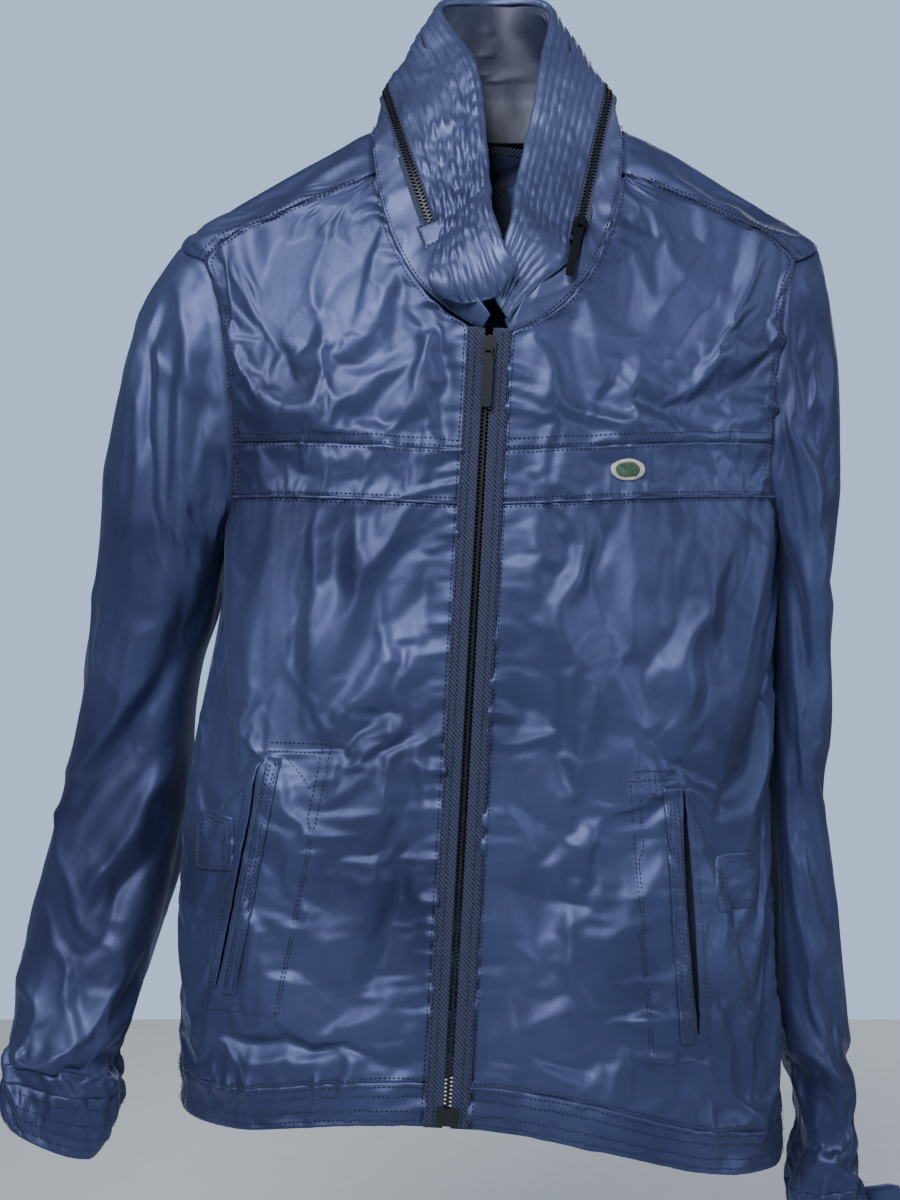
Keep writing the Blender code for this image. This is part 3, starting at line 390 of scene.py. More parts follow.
def collar_base(w):
    """The neckline seam on the body's surface."""
    side, out = math.copysign(1, w), abs(w)
    if out < SIDE_SHARE:
        return body(side * lerp(180, 90, out / SIDE_SHARE), NECK_SIDE_Z)
    reach = 80 if side > 0 else 73
    turn = math.radians(((out - SIDE_SHARE) / (1 - SIDE_SHARE)) ** 1.12 * reach)
    z = NECK_SIDE_Z - NECK_DROP * math.sin(turn)
    return body(angle_at(side * NECK_HALF_WIDTH * math.cos(turn), z), z)


HOOD_CURVE = path(
    (-1.0, -0.0173, -0.0829, -0.1246),
    (-0.85, -0.0332, -0.0735, -0.0974),
    (-0.7, -0.0475, -0.06, -0.062),
    (-0.52, -0.0635, -0.039, -0.012),
    (-SIDE_SHARE, -0.079, 0.002, 0.043),
    (-0.27, -0.0808, 0.013, 0.054),
    (-0.2, -0.0735, 0.03, 0.0625),
    (-0.1, -0.0455, 0.05, 0.064),
    (0.0, 0.0, 0.059, 0.064),
    (0.1, 0.0455, 0.05, 0.064),
    (0.2, 0.0735, 0.03, 0.0625),
    (0.27, 0.0812, 0.0125, 0.0545),
    (SIDE_SHARE, *HOOD_ZIP_HIGH),
    (0.36, *lerp(HOOD_ZIP_HIGH, HOOD_ZIP_LOW, 0.03 / 0.37)),
    (0.67, *lerp(HOOD_ZIP_HIGH, HOOD_ZIP_LOW, 0.34 / 0.37)),
    (ZIP_END, *HOOD_ZIP_LOW),
    (0.76, 0.047, -0.069, -0.0905),
    (0.88, 0.0281, -0.0745, -0.1075),
    (1.0, 0.0134, -0.0832, -0.1273),
)


def hood_line(w):
    """The middle of the hood zip. Its stretch on the wearer's left is straight."""
    if SIDE_SHARE <= w <= ZIP_END:
        return lerp(HOOD_ZIP_HIGH, HOOD_ZIP_LOW, (w - SIDE_SHARE) / (ZIP_END - SIDE_SHARE))
    return HOOD_CURVE(w)


def hood_across(w):
    """The direction across the hood zip, towards the collar's top edge."""
    along = (hood_line(w + 0.001) - hood_line(w - 0.001)).normalized()
    up = (COLLAR_TOP(w) - collar_base(w)).normalized()
    if SIDE_SHARE - 0.005 <= w <= ZIP_END + 0.005:
        along = (HOOD_ZIP_LOW - HOOD_ZIP_HIGH).normalized()
        up = HOOD_ZIP_UP.normalized()
    elif w > 0:
        near = min(abs(w - SIDE_SHARE), abs(w - ZIP_END)) / 0.15
        up = lerp(HOOD_ZIP_UP.normalized(), up, min(near, 1)).normalized()
    return (up - along * up.dot(along)).normalized()


# ---------------- zips and pockets


def line_frame(origin, along, across_hint, out_hint):
    """A matrix from (across, along, out) to the drawing, with its origin on the zip's line."""
    along = along.normalized()
    across = (across_hint - along * across_hint.dot(along)).normalized()
    out = across.cross(along)
    if out.dot(out_hint) < 0:
        out = -out
    place = Matrix.Identity(4)
    for row in range(3):
        place[row][0], place[row][1], place[row][2] = across[row], along[row], out[row]
        place[row][3] = origin[row]
    return place


def zip_point(z):
    return Vector((zip_x(z), -front_depth(z), z))


def main_frame(z):
    along = zip_point(ZIP_TOP_Z - 0.01) - zip_point(ZIP_BOTTOM_Z)
    return line_frame(zip_point(z), along, Vector((1, 0, 0)), Vector((0, -1, 0)))


# The slit of each pocket, upper and lower end as (x, z).
POCKETS = {
    -1: ((-0.162, -0.43), (-0.193, -0.588)),
    1: ((0.1235, -0.448), (0.1345, -0.618)),
}
SLIT_WIDTH = 0.007
POCKET_WIDE = {-1: 0.046, 1: 0.036}  # from the slit to the stitches towards the zip


def slit_x(side, z):
    (top_x, top_z), (low_x, low_z) = POCKETS[side]
    return lerp(top_x, low_x, (top_z - z) / (top_z - low_z))


def tab_frame(side, rings):
    """(root, reach, lift): where the tab is sewn on, which way it points, and the hinge's direction."""
    outer = rings[1][0]
    down = Vector((rings[2][0][0] - rings[0][0][0], 0, rings[2][0][1] - rings[0][0][1])).normalized()
    reach = Vector((side * 0.93, -0.36, 0.05))
    reach = (reach - down * reach.dot(down)).normalized()
    return Vector((outer[0] + side * 0.0006, rings[1][2] - 0.004, outer[1])), reach, down


# ---------------- grids of cloth

GROW = 0.03  # share by which the settling cloth is larger than its seams allow
FARTHEST = 0.009  # how far the settling moves a point at most
NYLON_CLOTH = {
    "quality": 5,
    "mass": 0.1,
    "tension_stiffness": 12,
    "compression_stiffness": 12,
    "shear_stiffness": 4,
    "bending_stiffness": 0.15,
    "air_damping": 3,
}


def sample(point, us, vs):
    """The points of a surface: one row for each v, one column for each u."""
    return np.array([[point(u, v)[:] for u in us] for v in vs])


def grid_normals(grid, wrap=False):
    """Unit normals of a grid of points; wrap says that each row is a closed ring."""
    if wrap:
        along = np.roll(grid, -1, axis=1) - np.roll(grid, 1, axis=1)
    else:
        along = np.gradient(grid, axis=1)
    normals = np.cross(along, np.gradient(grid, axis=0))
    return normals / np.maximum(np.linalg.norm(normals, axis=2, keepdims=True), 1e-12)


def facing(normals, grid, middle):
    """The normals, all turned to the side that faces away from the middle."""
    ahead = np.sum(normals * (grid - middle)) > 0
    return normals if ahead else -normals


def at_grid(grid, row, column):
    """The point of a grid at a fractional row and column."""
    r = min(max(row, 0), grid.shape[0] - 1.000001)
    c = min(max(column, 0), grid.shape[1] - 1.000001)
    i, j = int(r), int(c)
    a, b = r - i, c - j
    low = grid[i, j] * (1 - b) + grid[i, j + 1] * b
    high = grid[i + 1, j] * (1 - b) + grid[i + 1, j + 1] * b
    return low * (1 - a) + high * a


def waves(points, size, seed, stretch=(1, 1, 1)):
    """Smooth noise of about unit height, whose waves are about size long."""
    chance = np.random.default_rng(seed)
    total = np.zeros(points.shape[:-1])
    count = 22
    for _ in range(count):
        way = chance.normal(size=3)
        way /= np.linalg.norm(way)
        length = size * chance.uniform(0.65, 1.7)
        phase = chance.uniform(0, 2 * math.pi)
        total += np.cos(points @ (way * stretch) * (2 * math.pi / length) + phase)
    return total / math.sqrt(count / 2)


def creases(points, size, seed, stretch=(1, 1, 1)):
    """A network of sharp creases, from 0 to 1, about size apart."""
    warp = 0.25 * size * waves(points, size * 1.3, seed + 50)
    moved = points + warp[..., None] * np.array((0.6, 0.2, 0.7))
    return np.exp(-np.abs(waves(moved, size * 2.4, seed, stretch)) * 4.0)


def stroke_field(points, strokes):
    """The height of the listed folds at each point, from their tables in mm."""
    field = np.zeros(points.shape[:-1])
    sway = 0.0035 * np.stack((waves(points, 0.045, 7), waves(points, 0.045, 8)), axis=-1)
    flat = points[..., (0, 2)] + sway
    for height, width, line in strokes:
        knots = np.array(line) / 1000
        lengths = np.linalg.norm(np.diff(knots, axis=0), axis=1)
        ends = np.concatenate(([0], np.cumsum(lengths)))
        nearest = np.full(field.shape, 1e9)
        share = np.zeros(field.shape)
        for k, length in enumerate(lengths):
            way = (knots[k + 1] - knots[k]) / length
            along = (flat - knots[k]) @ way
            inside = np.clip(along, 0, length)
            gap = np.linalg.norm(flat - knots[k] - inside[..., None] * way, axis=-1)
            closer = gap < nearest
            nearest = np.where(closer, gap, nearest)
            share = np.where(closer, (ends[k] + inside) / ends[-1], share)
        taper = np.sin(np.pi * (0.12 + 0.76 * share)) ** 0.8
        field += height * 0.001 * taper * np.exp(-((nearest / (width * 0.00078)) ** 1.35))
    return field


def ramp(values, low, high):
    """0 below low, 1 above high, smooth between them."""
    t = np.clip((values - low) / (high - low), 0, 1)
    return t * t * (3 - 2 * t)


def row_lengths(grid):
    """How far each point is along its column from the first row."""
    steps = np.linalg.norm(np.diff(grid, axis=0), axis=2)
    return np.concatenate((np.zeros((1, grid.shape[1])), np.cumsum(steps, axis=0)))


def column_lengths(grid):
    """How far each point is along its row from the first column."""
    steps = np.linalg.norm(np.diff(grid, axis=1), axis=2)
    return np.concatenate((np.zeros((grid.shape[0], 1)), np.cumsum(steps, axis=1)), axis=1)


def seam_puckers(away, along, seed, height=0.0011, reach=0.01, groove=0.0009):
    """The dip of a seam and the little puckers that its thread draws up on both sides of it.

    away is each point's distance from the seam, along its distance along the seam."""
    places = np.stack((along, away * 0.15, np.zeros_like(along)), axis=-1)
    folds = np.maximum(waves(places, 0.0085, seed), -0.3)
    strength = 0.55 + 0.45 * waves(places, 0.06, seed + 1)
    lift = 1.5 * height * folds * np.clip(strength, 0.15, 1.4) * np.exp(-away / reach)
    return lift - groove * np.exp(-((away / 0.0022) ** 2))


def grid_mesh(name, grid, wrap=False, holes=None):
    """An object from a grid of points in the drawing frame, with its cut lengths as a UV map."""
    rows, columns = grid.shape[:2]
    across = columns if wrap else columns - 1
    faces = []
    cells = []
    for r in range(rows - 1):
        for c in range(across):
            if holes is not None and holes[r, c]:
                continue
            d = (c + 1) % columns
            faces.append((r * columns + c, r * columns + d, (r + 1) * columns + d, (r + 1) * columns + c))
            cells.append((r, c))
    mesh = bpy.data.meshes.new(name)
    mesh.from_pydata((grid.reshape(-1, 3) - np.array(HOOK)).tolist(), [], faces)
    width = np.mean(column_lengths(grid), axis=0)
    if wrap:
        closing = np.mean(np.linalg.norm(grid[:, 0] - grid[:, -1], axis=1))
        width = np.append(width, width[-1] + closing)
    height = np.mean(row_lengths(grid), axis=1)
    uv = []
    for r, c in cells:
        for i, j in ((r, c), (r, c + 1), (r + 1, c + 1), (r + 1, c)):
            uv += [width[j], height[i]]
    mesh.uv_layers.new(name="cut").data.foreach_set("uv", uv)
    obj = bpy.data.objects.new(name, mesh)
    bpy.context.scene.collection.objects.link(obj)
    return obj


def settle(grid, held, frames=14, wrap=False, grow=GROW, gravity=0.25):
    """The grid after a short cloth simulation. held is how firmly each point stays, from 0 to 1."""
    obj = grid_mesh("settling", grid, wrap)
    group = obj.vertex_groups.new(name="held")
    for i, weight in enumerate(held.reshape(-1).tolist()):
        if weight > 0:
            group.add([i], weight, "REPLACE")
    cloth = obj.modifiers.new("cloth", "CLOTH")
    cloth.settings.vertex_group_mass = "held"
    for setting, value in NYLON_CLOTH.items():
        setattr(cloth.settings, setting, value)
    cloth.settings.shrink_min = -grow
    cloth.settings.effector_weights.gravity = gravity
    cloth.collision_settings.use_collision = False
    cloth.point_cache.frame_start = 1
    cloth.point_cache.frame_end = frames
    scene = bpy.context.scene
    for number in range(1, frames + 1):
        scene.frame_set(number)
    graph = bpy.context.evaluated_depsgraph_get()
    done = obj.evaluated_get(graph).data
    places = np.zeros(len(done.vertices) * 3)
    done.vertices.foreach_get("co", places)
    mesh = obj.data
    bpy.data.objects.remove(obj)
    bpy.data.meshes.remove(mesh)
    scene.frame_set(1)
    settled = places.reshape(grid.shape) + np.array(HOOK)
    moved = settled - grid
    length = np.linalg.norm(moved, axis=2, keepdims=True)
    return grid + moved * np.minimum(1, FARTHEST / np.maximum(length, 1e-9))


def panel(name, grid, finish, thickness=0.0009, wrap=False, holes=None, smooth=1, outwards=None):
    """A finished piece of cloth from a grid: smoothed, and thickened on its inner side."""
    normals = grid_normals(grid, wrap)
    if outwards is not None and np.sum(normals * outwards) < 0:
        grid = grid[:, ::-1]
        holes = holes[:, ::-1] if holes is not None else None
    obj = grid_mesh(name, grid, wrap, holes)
    obj.data.materials.append(finish)
    if smooth:
        fine = obj.modifiers.new("fine", "SUBSURF")
        fine.levels = smooth
        fine.render_levels = smooth
        fine.boundary_smooth = "PRESERVE_CORNERS"
    thick = obj.modifiers.new("thick", "SOLIDIFY")
    thick.thickness = thickness
    thick.offset = -1
    bake_modifiers(obj)
    obj.data.shade_smooth()
    return obj


def bake_modifiers(obj):
    """Makes the shape that the modifiers give the object's own mesh."""
    graph = bpy.context.evaluated_depsgraph_get()
    done = bpy.data.meshes.new_from_object(obj.evaluated_get(graph))
    old = obj.data
    obj.modifiers.clear()
    obj.data = done
    bpy.data.meshes.remove(old)


def solid(name, points, faces, finish, smooth=True):
    """A piece from points of the drawing frame."""
    mesh = bpy.data.meshes.new(name)
    mesh.from_pydata([tuple(Vector(p) - HOOK) for p in points], [], faces)
    shape = bmesh.new()
    shape.from_mesh(mesh)
    bmesh.ops.recalc_face_normals(shape, faces=shape.faces)
    shape.to_mesh(mesh)
    shape.free()
    if smooth:
        mesh.shade_smooth()
        mesh.set_sharp_from_angle(angle=math.radians(40))
    obj = bpy.data.objects.new(name, mesh)
    bpy.context.scene.collection.objects.link(obj)
    obj.data.materials.append(finish)
    return obj


# ---------------- stitches, cords and ribbons

STITCH_PITCH, STITCH_LENGTH, STITCH_RADIUS = 0.0032, 0.0024, 0.0004


class Thread:
    """Collects the stitches of one body, to make them one piece."""

    def __init__(self):
        self.points = []
        self.faces = []

    def stitch(self, start, end, out):
        """One stitch: a thin lens of thread lying on the cloth."""
        way = end - start
        length = np.linalg.norm(way)
        if length < 1e-6:
            return
        way = way / length
        side = np.cross(way, out)
        middle = (start + end) / 2 + out * STITCH_RADIUS * 0.9
        ring = [middle + v * STITCH_RADIUS for v in (side, out, -side, -out)]
        base = len(self.points)
        self.points += [start, end] + ring
        for k in range(4):
            a, b = base + 2 + k, base + 2 + (k + 1) % 4
            self.faces += [(base, a, b), (base + 1, b, a)]

    def line(self, places, outs, lift=0.0005):
        """Stitches along a line of points; outs are the cloth's normals there."""
        steps = np.linalg.norm(np.diff(places, axis=0), axis=1)
        lengths = np.concatenate(([0], np.cumsum(steps)))

        def along(length, values):
            return np.array([np.interp(length, lengths, values[:, i]) for i in range(3)])

        for k in range(int(lengths[-1] / STITCH_PITCH)):
            low = k * STITCH_PITCH + 0.0003
            high = low + STITCH_LENGTH
            start, end = along(low, places), along(high, places)
            out = along(low, outs)
            out = out / max(np.linalg.norm(out), 1e-9)
            self.stitch(start + out * lift, end + out * lift, out)

    def make(self, name, finish):
        return solid(name, self.points, self.faces, finish)


def rod(name, places, radius, finish, sides=8):
    """A round cord along a line of points, closed at both ends."""
    places = np.asarray(places)
    ways = np.gradient(places, axis=0)
    ways /= np.linalg.norm(ways, axis=1, keepdims=True)
    side = np.cross(ways[0], (0.3, 0.5, 0.8))
    points, faces = [], []
    for place, way in zip(places, ways):
        side = side - way * np.dot(side, way)
        side /= np.linalg.norm(side)
        other = np.cross(way, side)
        for k in range(sides):
            turn = 2 * math.pi * k / sides
            points.append(place + (side * math.cos(turn) + other * math.sin(turn)) * radius)
    for r in range(len(places) - 1):
        for k in range(sides):
            after = (k + 1) % sides
            low, high = r * sides, (r + 1) * sides
            faces.append((low + k, low + after, high + after, high + k))
    faces.append(tuple(range(sides)))
    faces.append(tuple(len(points) - 1 - k for k in range(sides)))
    return solid(name, points, faces, finish)


# ---------------- folds, listed one by one

# Each fold is (height, half width, line of (x, z) points), in mm; a negative height is a valley.
RIGHT_FOLDS = (
    (-5, 14, ((-103, -88), (-140, -143), (-163, -202))),
    (3, 12, ((-166, -116), (-173, -189))),
    (4, 16, ((-120, -123), (-126, -202))),
    (-5, 10, ((-67, -57), (-51, -123), (-31, -209))),
    (5, 7, ((-64, -123), (-41, -198))),
    (3, 5, ((-84, -44), (-82, -136))),
    (-3, 5, ((-75, -50), (-67, -149))),
    (-3, 8, ((-90, -169), (-80, -215))),
    (-6, 15, ((-90, -262), (-133, -314), (-154, -367))),
    (4, 15, ((-150, -262), (-163, -321), (-176, -374))),
    (5, 14, ((-67, -268), (-107, -328), (-133, -374))),
    (-4, 8, ((-183, -262), (-178, -321))),
    (-4, 8, ((-47, -268), (-49, -347))),
    (4, 8, ((-59, -347), (-67, -403))),
    (-5, 7, ((-116, -410), (-103, -391), (-70, -395))),
    (5, 18, ((-113, -376), (-67, -364))),
    (5, 7, ((-103, -417), (-66, -407))),
    (-4, 4, ((-88, -425), (-64, -417))),
    (6, 14, ((-87, -433), (-80, -486), (-90, -526), (-107, -575))),
    (-6, 16, ((-70, -453), (-67, -506), (-87, -578))),
    (3, 6, ((-177, -387), (-181, -433))),
    (-3, 6, ((-169, -390), (-183, -448))),
    (-5, 8, ((-191, -626), (-140, -615), (-100, -618), (-70, -633))),
    (3, 10, ((-189, -612), (-133, -600), (-93, -602))),
    (3, 7, ((-179, -638), (-133, -633))),
    (5, 6, ((-54, -423), (-50, -473))),
    (-4, 5, ((-43, -420), (-45, -486))),
    (-3, 8, ((-60, -479), (-57, -559))),
    (3, 7, ((-50, -506), (-52, -540))),
    (3, 8, ((-60, -585), (-64, -625))),
)
LEFT_FOLDS = (
    (-5, 13, ((159, -90), (131, -130), (115, -153))),
    (5, 11, ((172, -87), (159, -143), (139, -173))),
    (3, 12, ((124, -103), (105, -136))),
    (2, 5, ((82, -50), (80, -123))),
    (-2, 5, ((101, -60), (110, -116))),
    (2, 4, ((98, -186), (131, -179))),
    (-2, 4, ((105, -169), (121, -199))),
    (2, 5, ((144, -169), (128, -202))),
    (3, 7, ((32, -156), (45, -189))),
    (-3, 7, ((49, -153), (55, -202))),
    (-3, 10, ((78, -146), (65, -202))),
    (3, 9, ((91, -149), (85, -202))),
    (-5, 9, ((49, -265), (34, -305), (22, -341))),
    (4, 8, ((29, -268), (16, -308))),
    (4, 8, ((60, -268), (49, -314), (39, -354))),
    (-5, 8, ((73, -275), (62, -321), (52, -361))),
    (5, 12, ((108, -281), (82, -347), (58, -394))),
    (-4, 12, ((134, -281), (108, -354), (91, -400))),
    (6, 10, ((159, -275), (134, -347), (119, -407))),
    (-4, 9, ((174, -275), (154, -341), (138, -400))),
    (4, 8, ((182, -295), (165, -354))),
    (4, 6, ((-4, -414), (34, -415))),
    (5, 7, ((34, -415), (44, -380), (60, -347))),
    (-5, 12, ((2, -400), (25, -390))),
    (-4, 7, ((49, -413), (39, -453))),
    (4, 7, ((-2, -427), (9, -473), (19, -499))),
    (-3, 8, ((7, -440), (22, -479))),
    (-5, 9, ((65, -446), (42, -479), (27, -500))),
    (4, 9, ((45, -436), (25, -473))),
    (3, 8, ((73, -460), (58, -493))),
    (4, 10, ((14, -607), (39, -595), (65, -617))),
    (-4, 7, ((25, -625), (58, -634))),
    (4, 14, ((29, -559), (65, -552))),
    (-4, 11, ((12, -519), (58, -526))),
    (3, 6, ((-1, -578), (12, -625))),
    (-4, 4, ((93, -618), (94, -654))),
    (3, 4, ((101, -621), (114, -658))),
    (3, 4, ((86, -621), (75, -651))),
    (4, 7, ((161, -519), (141, -575))),
    (-3, 6, ((150, -519), (134, -565))),
    (3, 7, ((171, -545), (154, -605))),
    (3, 8, ((157, -387), (148, -453))),
)
RIGHT_SLEEVE_FOLDS = (
    (-8, 13, ((-241, -98), (-250, -163), (-251, -227), (-239, -289))),
    (5, 9, ((-227, -98), (-218, -155), (-205, -206))),
    (3, 12, ((-261, -177), (-266, -249))),
    (-5, 5, ((-223, -253), (-205, -265))),
    (6, 7, ((-230, -271), (-210, -307))),
    (-7, 12, ((-210, -321), (-243, -371), (-264, -422))),
    (5, 13, ((-236, -321), (-264, -350), (-282, -393))),
    (6, 7, ((-255, -373), (-293, -418), (-320, -449))),
    (-7, 10, ((-254, -393), (-282, -429), (-313, -465))),
    (7, 11, ((-231, -418), (-257, -458), (-297, -523))),
    (-6, 10, ((-234, -465), (-264, -508), (-290, -551))),
    (5, 12, ((-237, -501), (-272, -559))),
    (4, 7, ((-329, -537), (-304, -609), (-302, -659))),
    (-3, 8, ((-313, -559), (-297, -616))),
)
LEFT_SLEEVE_FOLDS = (
    (4, 9, ((225, -105), (218, -177), (218, -235))),
    (-5, 8, ((211, -249), (218, -321))),
    (4, 8, ((234, -263), (234, -350), (229, -436))),
    (-4, 7, ((218, -393), (217, -494))),
    (5, 8, ((218, -508), (227, -580), (231, -652))),
    (-4, 8, ((243, -537), (247, -638))),
    (3, 6, ((209, -587), (214, -667))),
)
YOKE_FOLDS = (
    (3, 6, ((-180, -62), (-105, -10))),
    (-3, 7, ((-165, -57), (-100, -20))),
    (3, 6, ((100, -12), (180, -52))),
    (-2, 6, ((110, -28), (190, -66))),
)
BACK_FOLDS = (
    (5, 16, ((-150, -120), (-110, -240), (-100, -420))),
    (-5, 14, ((-110, -120), (-70, -260), (-60, -460))),
    (4, 16, ((-40, -130), (-20, -320), (-30, -560))),
    (-4, 15, ((10, -200), (30, -420), (20, -620))),
    (5, 17, ((80, -130), (60, -300), (70, -520))),
    (-5, 14, ((140, -130), (110, -280), (110, -450))),
    (5, 12, ((180, -280), (140, -360), (90, -410))),
    (5, 12, ((-180, -280), (-140, -350), (-100, -400))),
    (-4, 10, ((-160, -440), (-90, -520))),
    (4, 12, ((150, -480), (80, -580))),
    (-4, 9, ((-150, -640), (-50, -630), (60, -640))),
)


# ---------------- the fronts

FRONT_COLUMNS = 62
FRONT_ROWS = (9, 110, 12, 60)  # of the hem, the lower front, the chest band and the chest panel
FRONT_TOP_Z = -0.0245


def front_levels(side, u):
    """Heights of the hem's edge, the four seams above it and the front's top, for a share from the zip."""
    angle = side * lerp(3, 89.7, u)
    return HEM_Z(angle), hem_seam_z(angle), piping_z(u), chest_seam_z(u), FRONT_TOP_Z


def front_bounds(side, z):
    """Angles of the front's edges at this height: by the zip or neckline, and at the side."""
    beside_zip = side * (zip_x(z) + side * TAPE_HALF * 0.9)
    if z > NECK_SIDE_Z - NECK_DROP:
        beside_zip = max(beside_zip, neckline_x(z))
    near = angle_at(side * beside_zip, z)
    if z > YOKE_LOW_Z:
        return near, side * seam_angle(side, z)
    if z < UNDERARM_Z:
        return near, side * 90.0
    return near, side * armhole_front(z)


def slit_share(side, z):
    """Shares of the front at the pocket slit's two edges."""
    near, far = front_bounds(side, z)
    (_, top_z), (_, low_z) = POCKETS[side]
    open_share = min(max((top_z - z) / (top_z - low_z), 0), 1)
    half = 0.0004 + SLIT_WIDTH * (0.34 if side > 0 else 0.1) * math.sin(math.pi * open_share) ** 0.7
    edges = [angle_at(slit_x(side, z) + side * s * half, z) for s in (-1, 1)]
    return [(a - near) / (far - near) for a in edges]


SLIT_COLUMN = {
    side: round(FRONT_COLUMNS * sum(slit_share(side, -0.53)) / 2) for side in (-1, 1)
}


def front_share(side, column, z):
    """A column's share from zip to side: the columns part round the pocket's slit."""
    plain = column / FRONT_COLUMNS
    (_, top_z), (_, low_z) = POCKETS[side]
    beyond = max(z - top_z, low_z - z, 0)
    pulled = 1 - min(beyond / 0.06, 1)
    pulled = pulled * pulled * (3 - 2 * pulled)
    if pulled <= 0:
        return plain
    split = SLIT_COLUMN[side]
    low, high = slit_share(side, z)
    if column <= split:
        parted = low * column / split
    else:
        parted = lerp(high, 1, (column - split - 1) / (FRONT_COLUMNS - split - 1))
    return lerp(plain, parted, pulled)


def front_grid(side):
    """The whole front in one grid, from the hem's edge up, with the heights of its seams as rows."""
    steps = []
    for part, rows in enumerate(FRONT_ROWS):
        steps += [part + k / rows for k in range(rows)]
    steps.append(4.0)

    def point(column, step):
        levels = front_levels(side, column / FRONT_COLUMNS)
        part = min(int(step), 3)
        z = lerp(levels[part], levels[part + 1], step - part)
        near, far = front_bounds(side, z)
        return body(lerp(near, far, front_share(side, column, z)), z)

    return sample(point, range(FRONT_COLUMNS + 1), steps)


def radial(points):
    """Outward directions of the body's surface, the same for every panel that meets there."""
    z = points[..., 2]
    centre = np.vectorize(CENTRE_X)(z)
    width = np.vectorize(HALF_WIDTH)(z)
    depth = np.where(points[..., 1] < 0, np.vectorize(front_depth)(z), np.vectorize(BACK_DEPTH)(z))
    across = (points[..., 0] - centre) / width
    deep = points[..., 1] / depth
    slope = ramp(z, -0.1, 0.02) * 0.8
    ways = np.stack((np.sign(across) * np.abs(across) ** 1.4 / width,
                     np.sign(deep) * np.abs(deep) ** 1.4 / depth,
                     slope / depth), axis=-1)
    return ways / np.maximum(np.linalg.norm(ways, axis=-1, keepdims=True), 1e-9)


BROAD_HEIGHT, FOLD_HEIGHT, SMALL_HEIGHT = 0.0014, 0.0034, 0.0014
CREASE_MEAN = 0.25  # about the mean of creases(), so that they neither swell nor shrink the cloth


def body_noise(points):
    """The wrinkles of worn nylon: broad waves with small sharp creases on them."""
    lean = (1.0, 0.6, 0.55)
    broad = waves(points, 0.11, 11, lean) * BROAD_HEIGHT
    folds = (creases(points, 0.056, 12, (1.0, 0.6, 0.34)) - CREASE_MEAN) * FOLD_HEIGHT
    small = (creases(points, 0.026, 13, (0.9, 0.6, 0.5)) - CREASE_MEAN) * SMALL_HEIGHT
    patchy = ramp(waves(points, 0.12, 14), -0.6, 1.0)
    return broad + folds + small * (0.4 + patchy)


def side_calm(points):
    """Folds are lower near the sides, where the sleeves hang close."""
    away = 1 - np.abs(points[..., 0] - np.vectorize(CENTRE_X)(points[..., 2])) / 0.213
    return 0.3 + 0.7 * ramp(away, 0.02, 0.16)


def front_seam_rows():
    """Row numbers of the hem seam, the piping and the chest seam."""
    hem, lower, band, _ = FRONT_ROWS
    return hem, hem + lower, hem + lower + band


def dress_front(side, grid):
    """The front with its folds, seams and puckers, settled."""
    ways = radial(grid)
    width = column_lengths(grid)
    height = row_lengths(grid)
    from_zip = width
    lift = (stroke_field(grid, RIGHT_FOLDS if side < 0 else LEFT_FOLDS) + body_noise(grid)) * side_calm(grid)
    lift *= ramp(from_zip, 0.0, 0.014)
    neck = np.minimum(NECK_SIDE_Z - grid[..., 2], 0.2)
    lift *= 0.35 + 0.65 * ramp(neck, 0.02, 0.16)
    arm = ramp(width[:, -1:] - width, 0.0, 0.012)
    lift *= np.where(grid[..., 2] > UNDERARM_Z, 0.25 + 0.75 * arm, 1.0)
    for k, row in enumerate(front_seam_rows()):
        away = np.abs(height - height[row])
        lift *= 0.45 + 0.55 * ramp(away, 0.0, 0.012)
        lift += seam_puckers(away, width, 20 + 10 * k + side, 0.0013 if k else 0.0018, groove=0.0004)
    lift += seam_puckers(from_zip, height, 61 + side, 0.0018, 0.012, 0.0004)
    lift += seam_puckers(width[:, -1:] - width, height, 71 + side, 0.001, 0.008)
    lift += pocket_puckers(side, grid)
    placed = grid + ways * lift[..., None]
    held = np.zeros(lift.shape)
    held[:, 0] = 1
    held[:, -1] = 1
    held[-8:] = 1
    held[0] = 0.6
    for row in front_seam_rows():
        held[row] = 0.8
    split = SLIT_COLUMN[side]
    (_, top_z), (_, low_z) = POCKETS[side]
    beside = (grid[:, split, 2] < top_z) & (grid[:, split, 2] > low_z)
    for column in (split, split + 1):
        held[beside, column] = 0.9
    return settle(placed, held)


def pocket_lines(side):
    """The stitching of a pocket, as lines of (distance from the slit, height) points, towards the middle."""
    (_, top_z), (_, low_z) = POCKETS[side]
    wide = POCKET_WIDE[side]
    top, low = top_z + 0.01, low_z - 0.012
    inner = [(wide, lerp(top, low, t)) for t in np.linspace(0, 1, 24)]
    inner_two = [(wide - 0.006, z) for _, z in inner[:7]]
    inner_two += [(wide - 0.0022, z) for _, z in inner[7:]]
    over = [(s, top + 0.002) for s in np.linspace(0.003, wide, 12)]
    over_two = [(s, top - 0.004) for s in np.linspace(0.003, wide, 12)]
    under = [(s, lerp(low - 0.001, low, s / wide)) for s in np.linspace(-0.003, wide, 12)]
    outer = [(-0.0075, lerp(top_z, low_z - 0.008, t)) for t in np.linspace(0, 1, 24)]
    corner = [(lerp(0.017, wide - 0.008, t), lerp(top - 0.008, top - 0.028, t)) for t in np.linspace(0, 1, 8)]
    welt = [(SLIT_WIDTH / 2 + 0.0095, lerp(top_z, low_z, t)) for t in np.linspace(0, 1, 24)]
    return inner, inner_two, over, over_two, under, outer, corner, welt


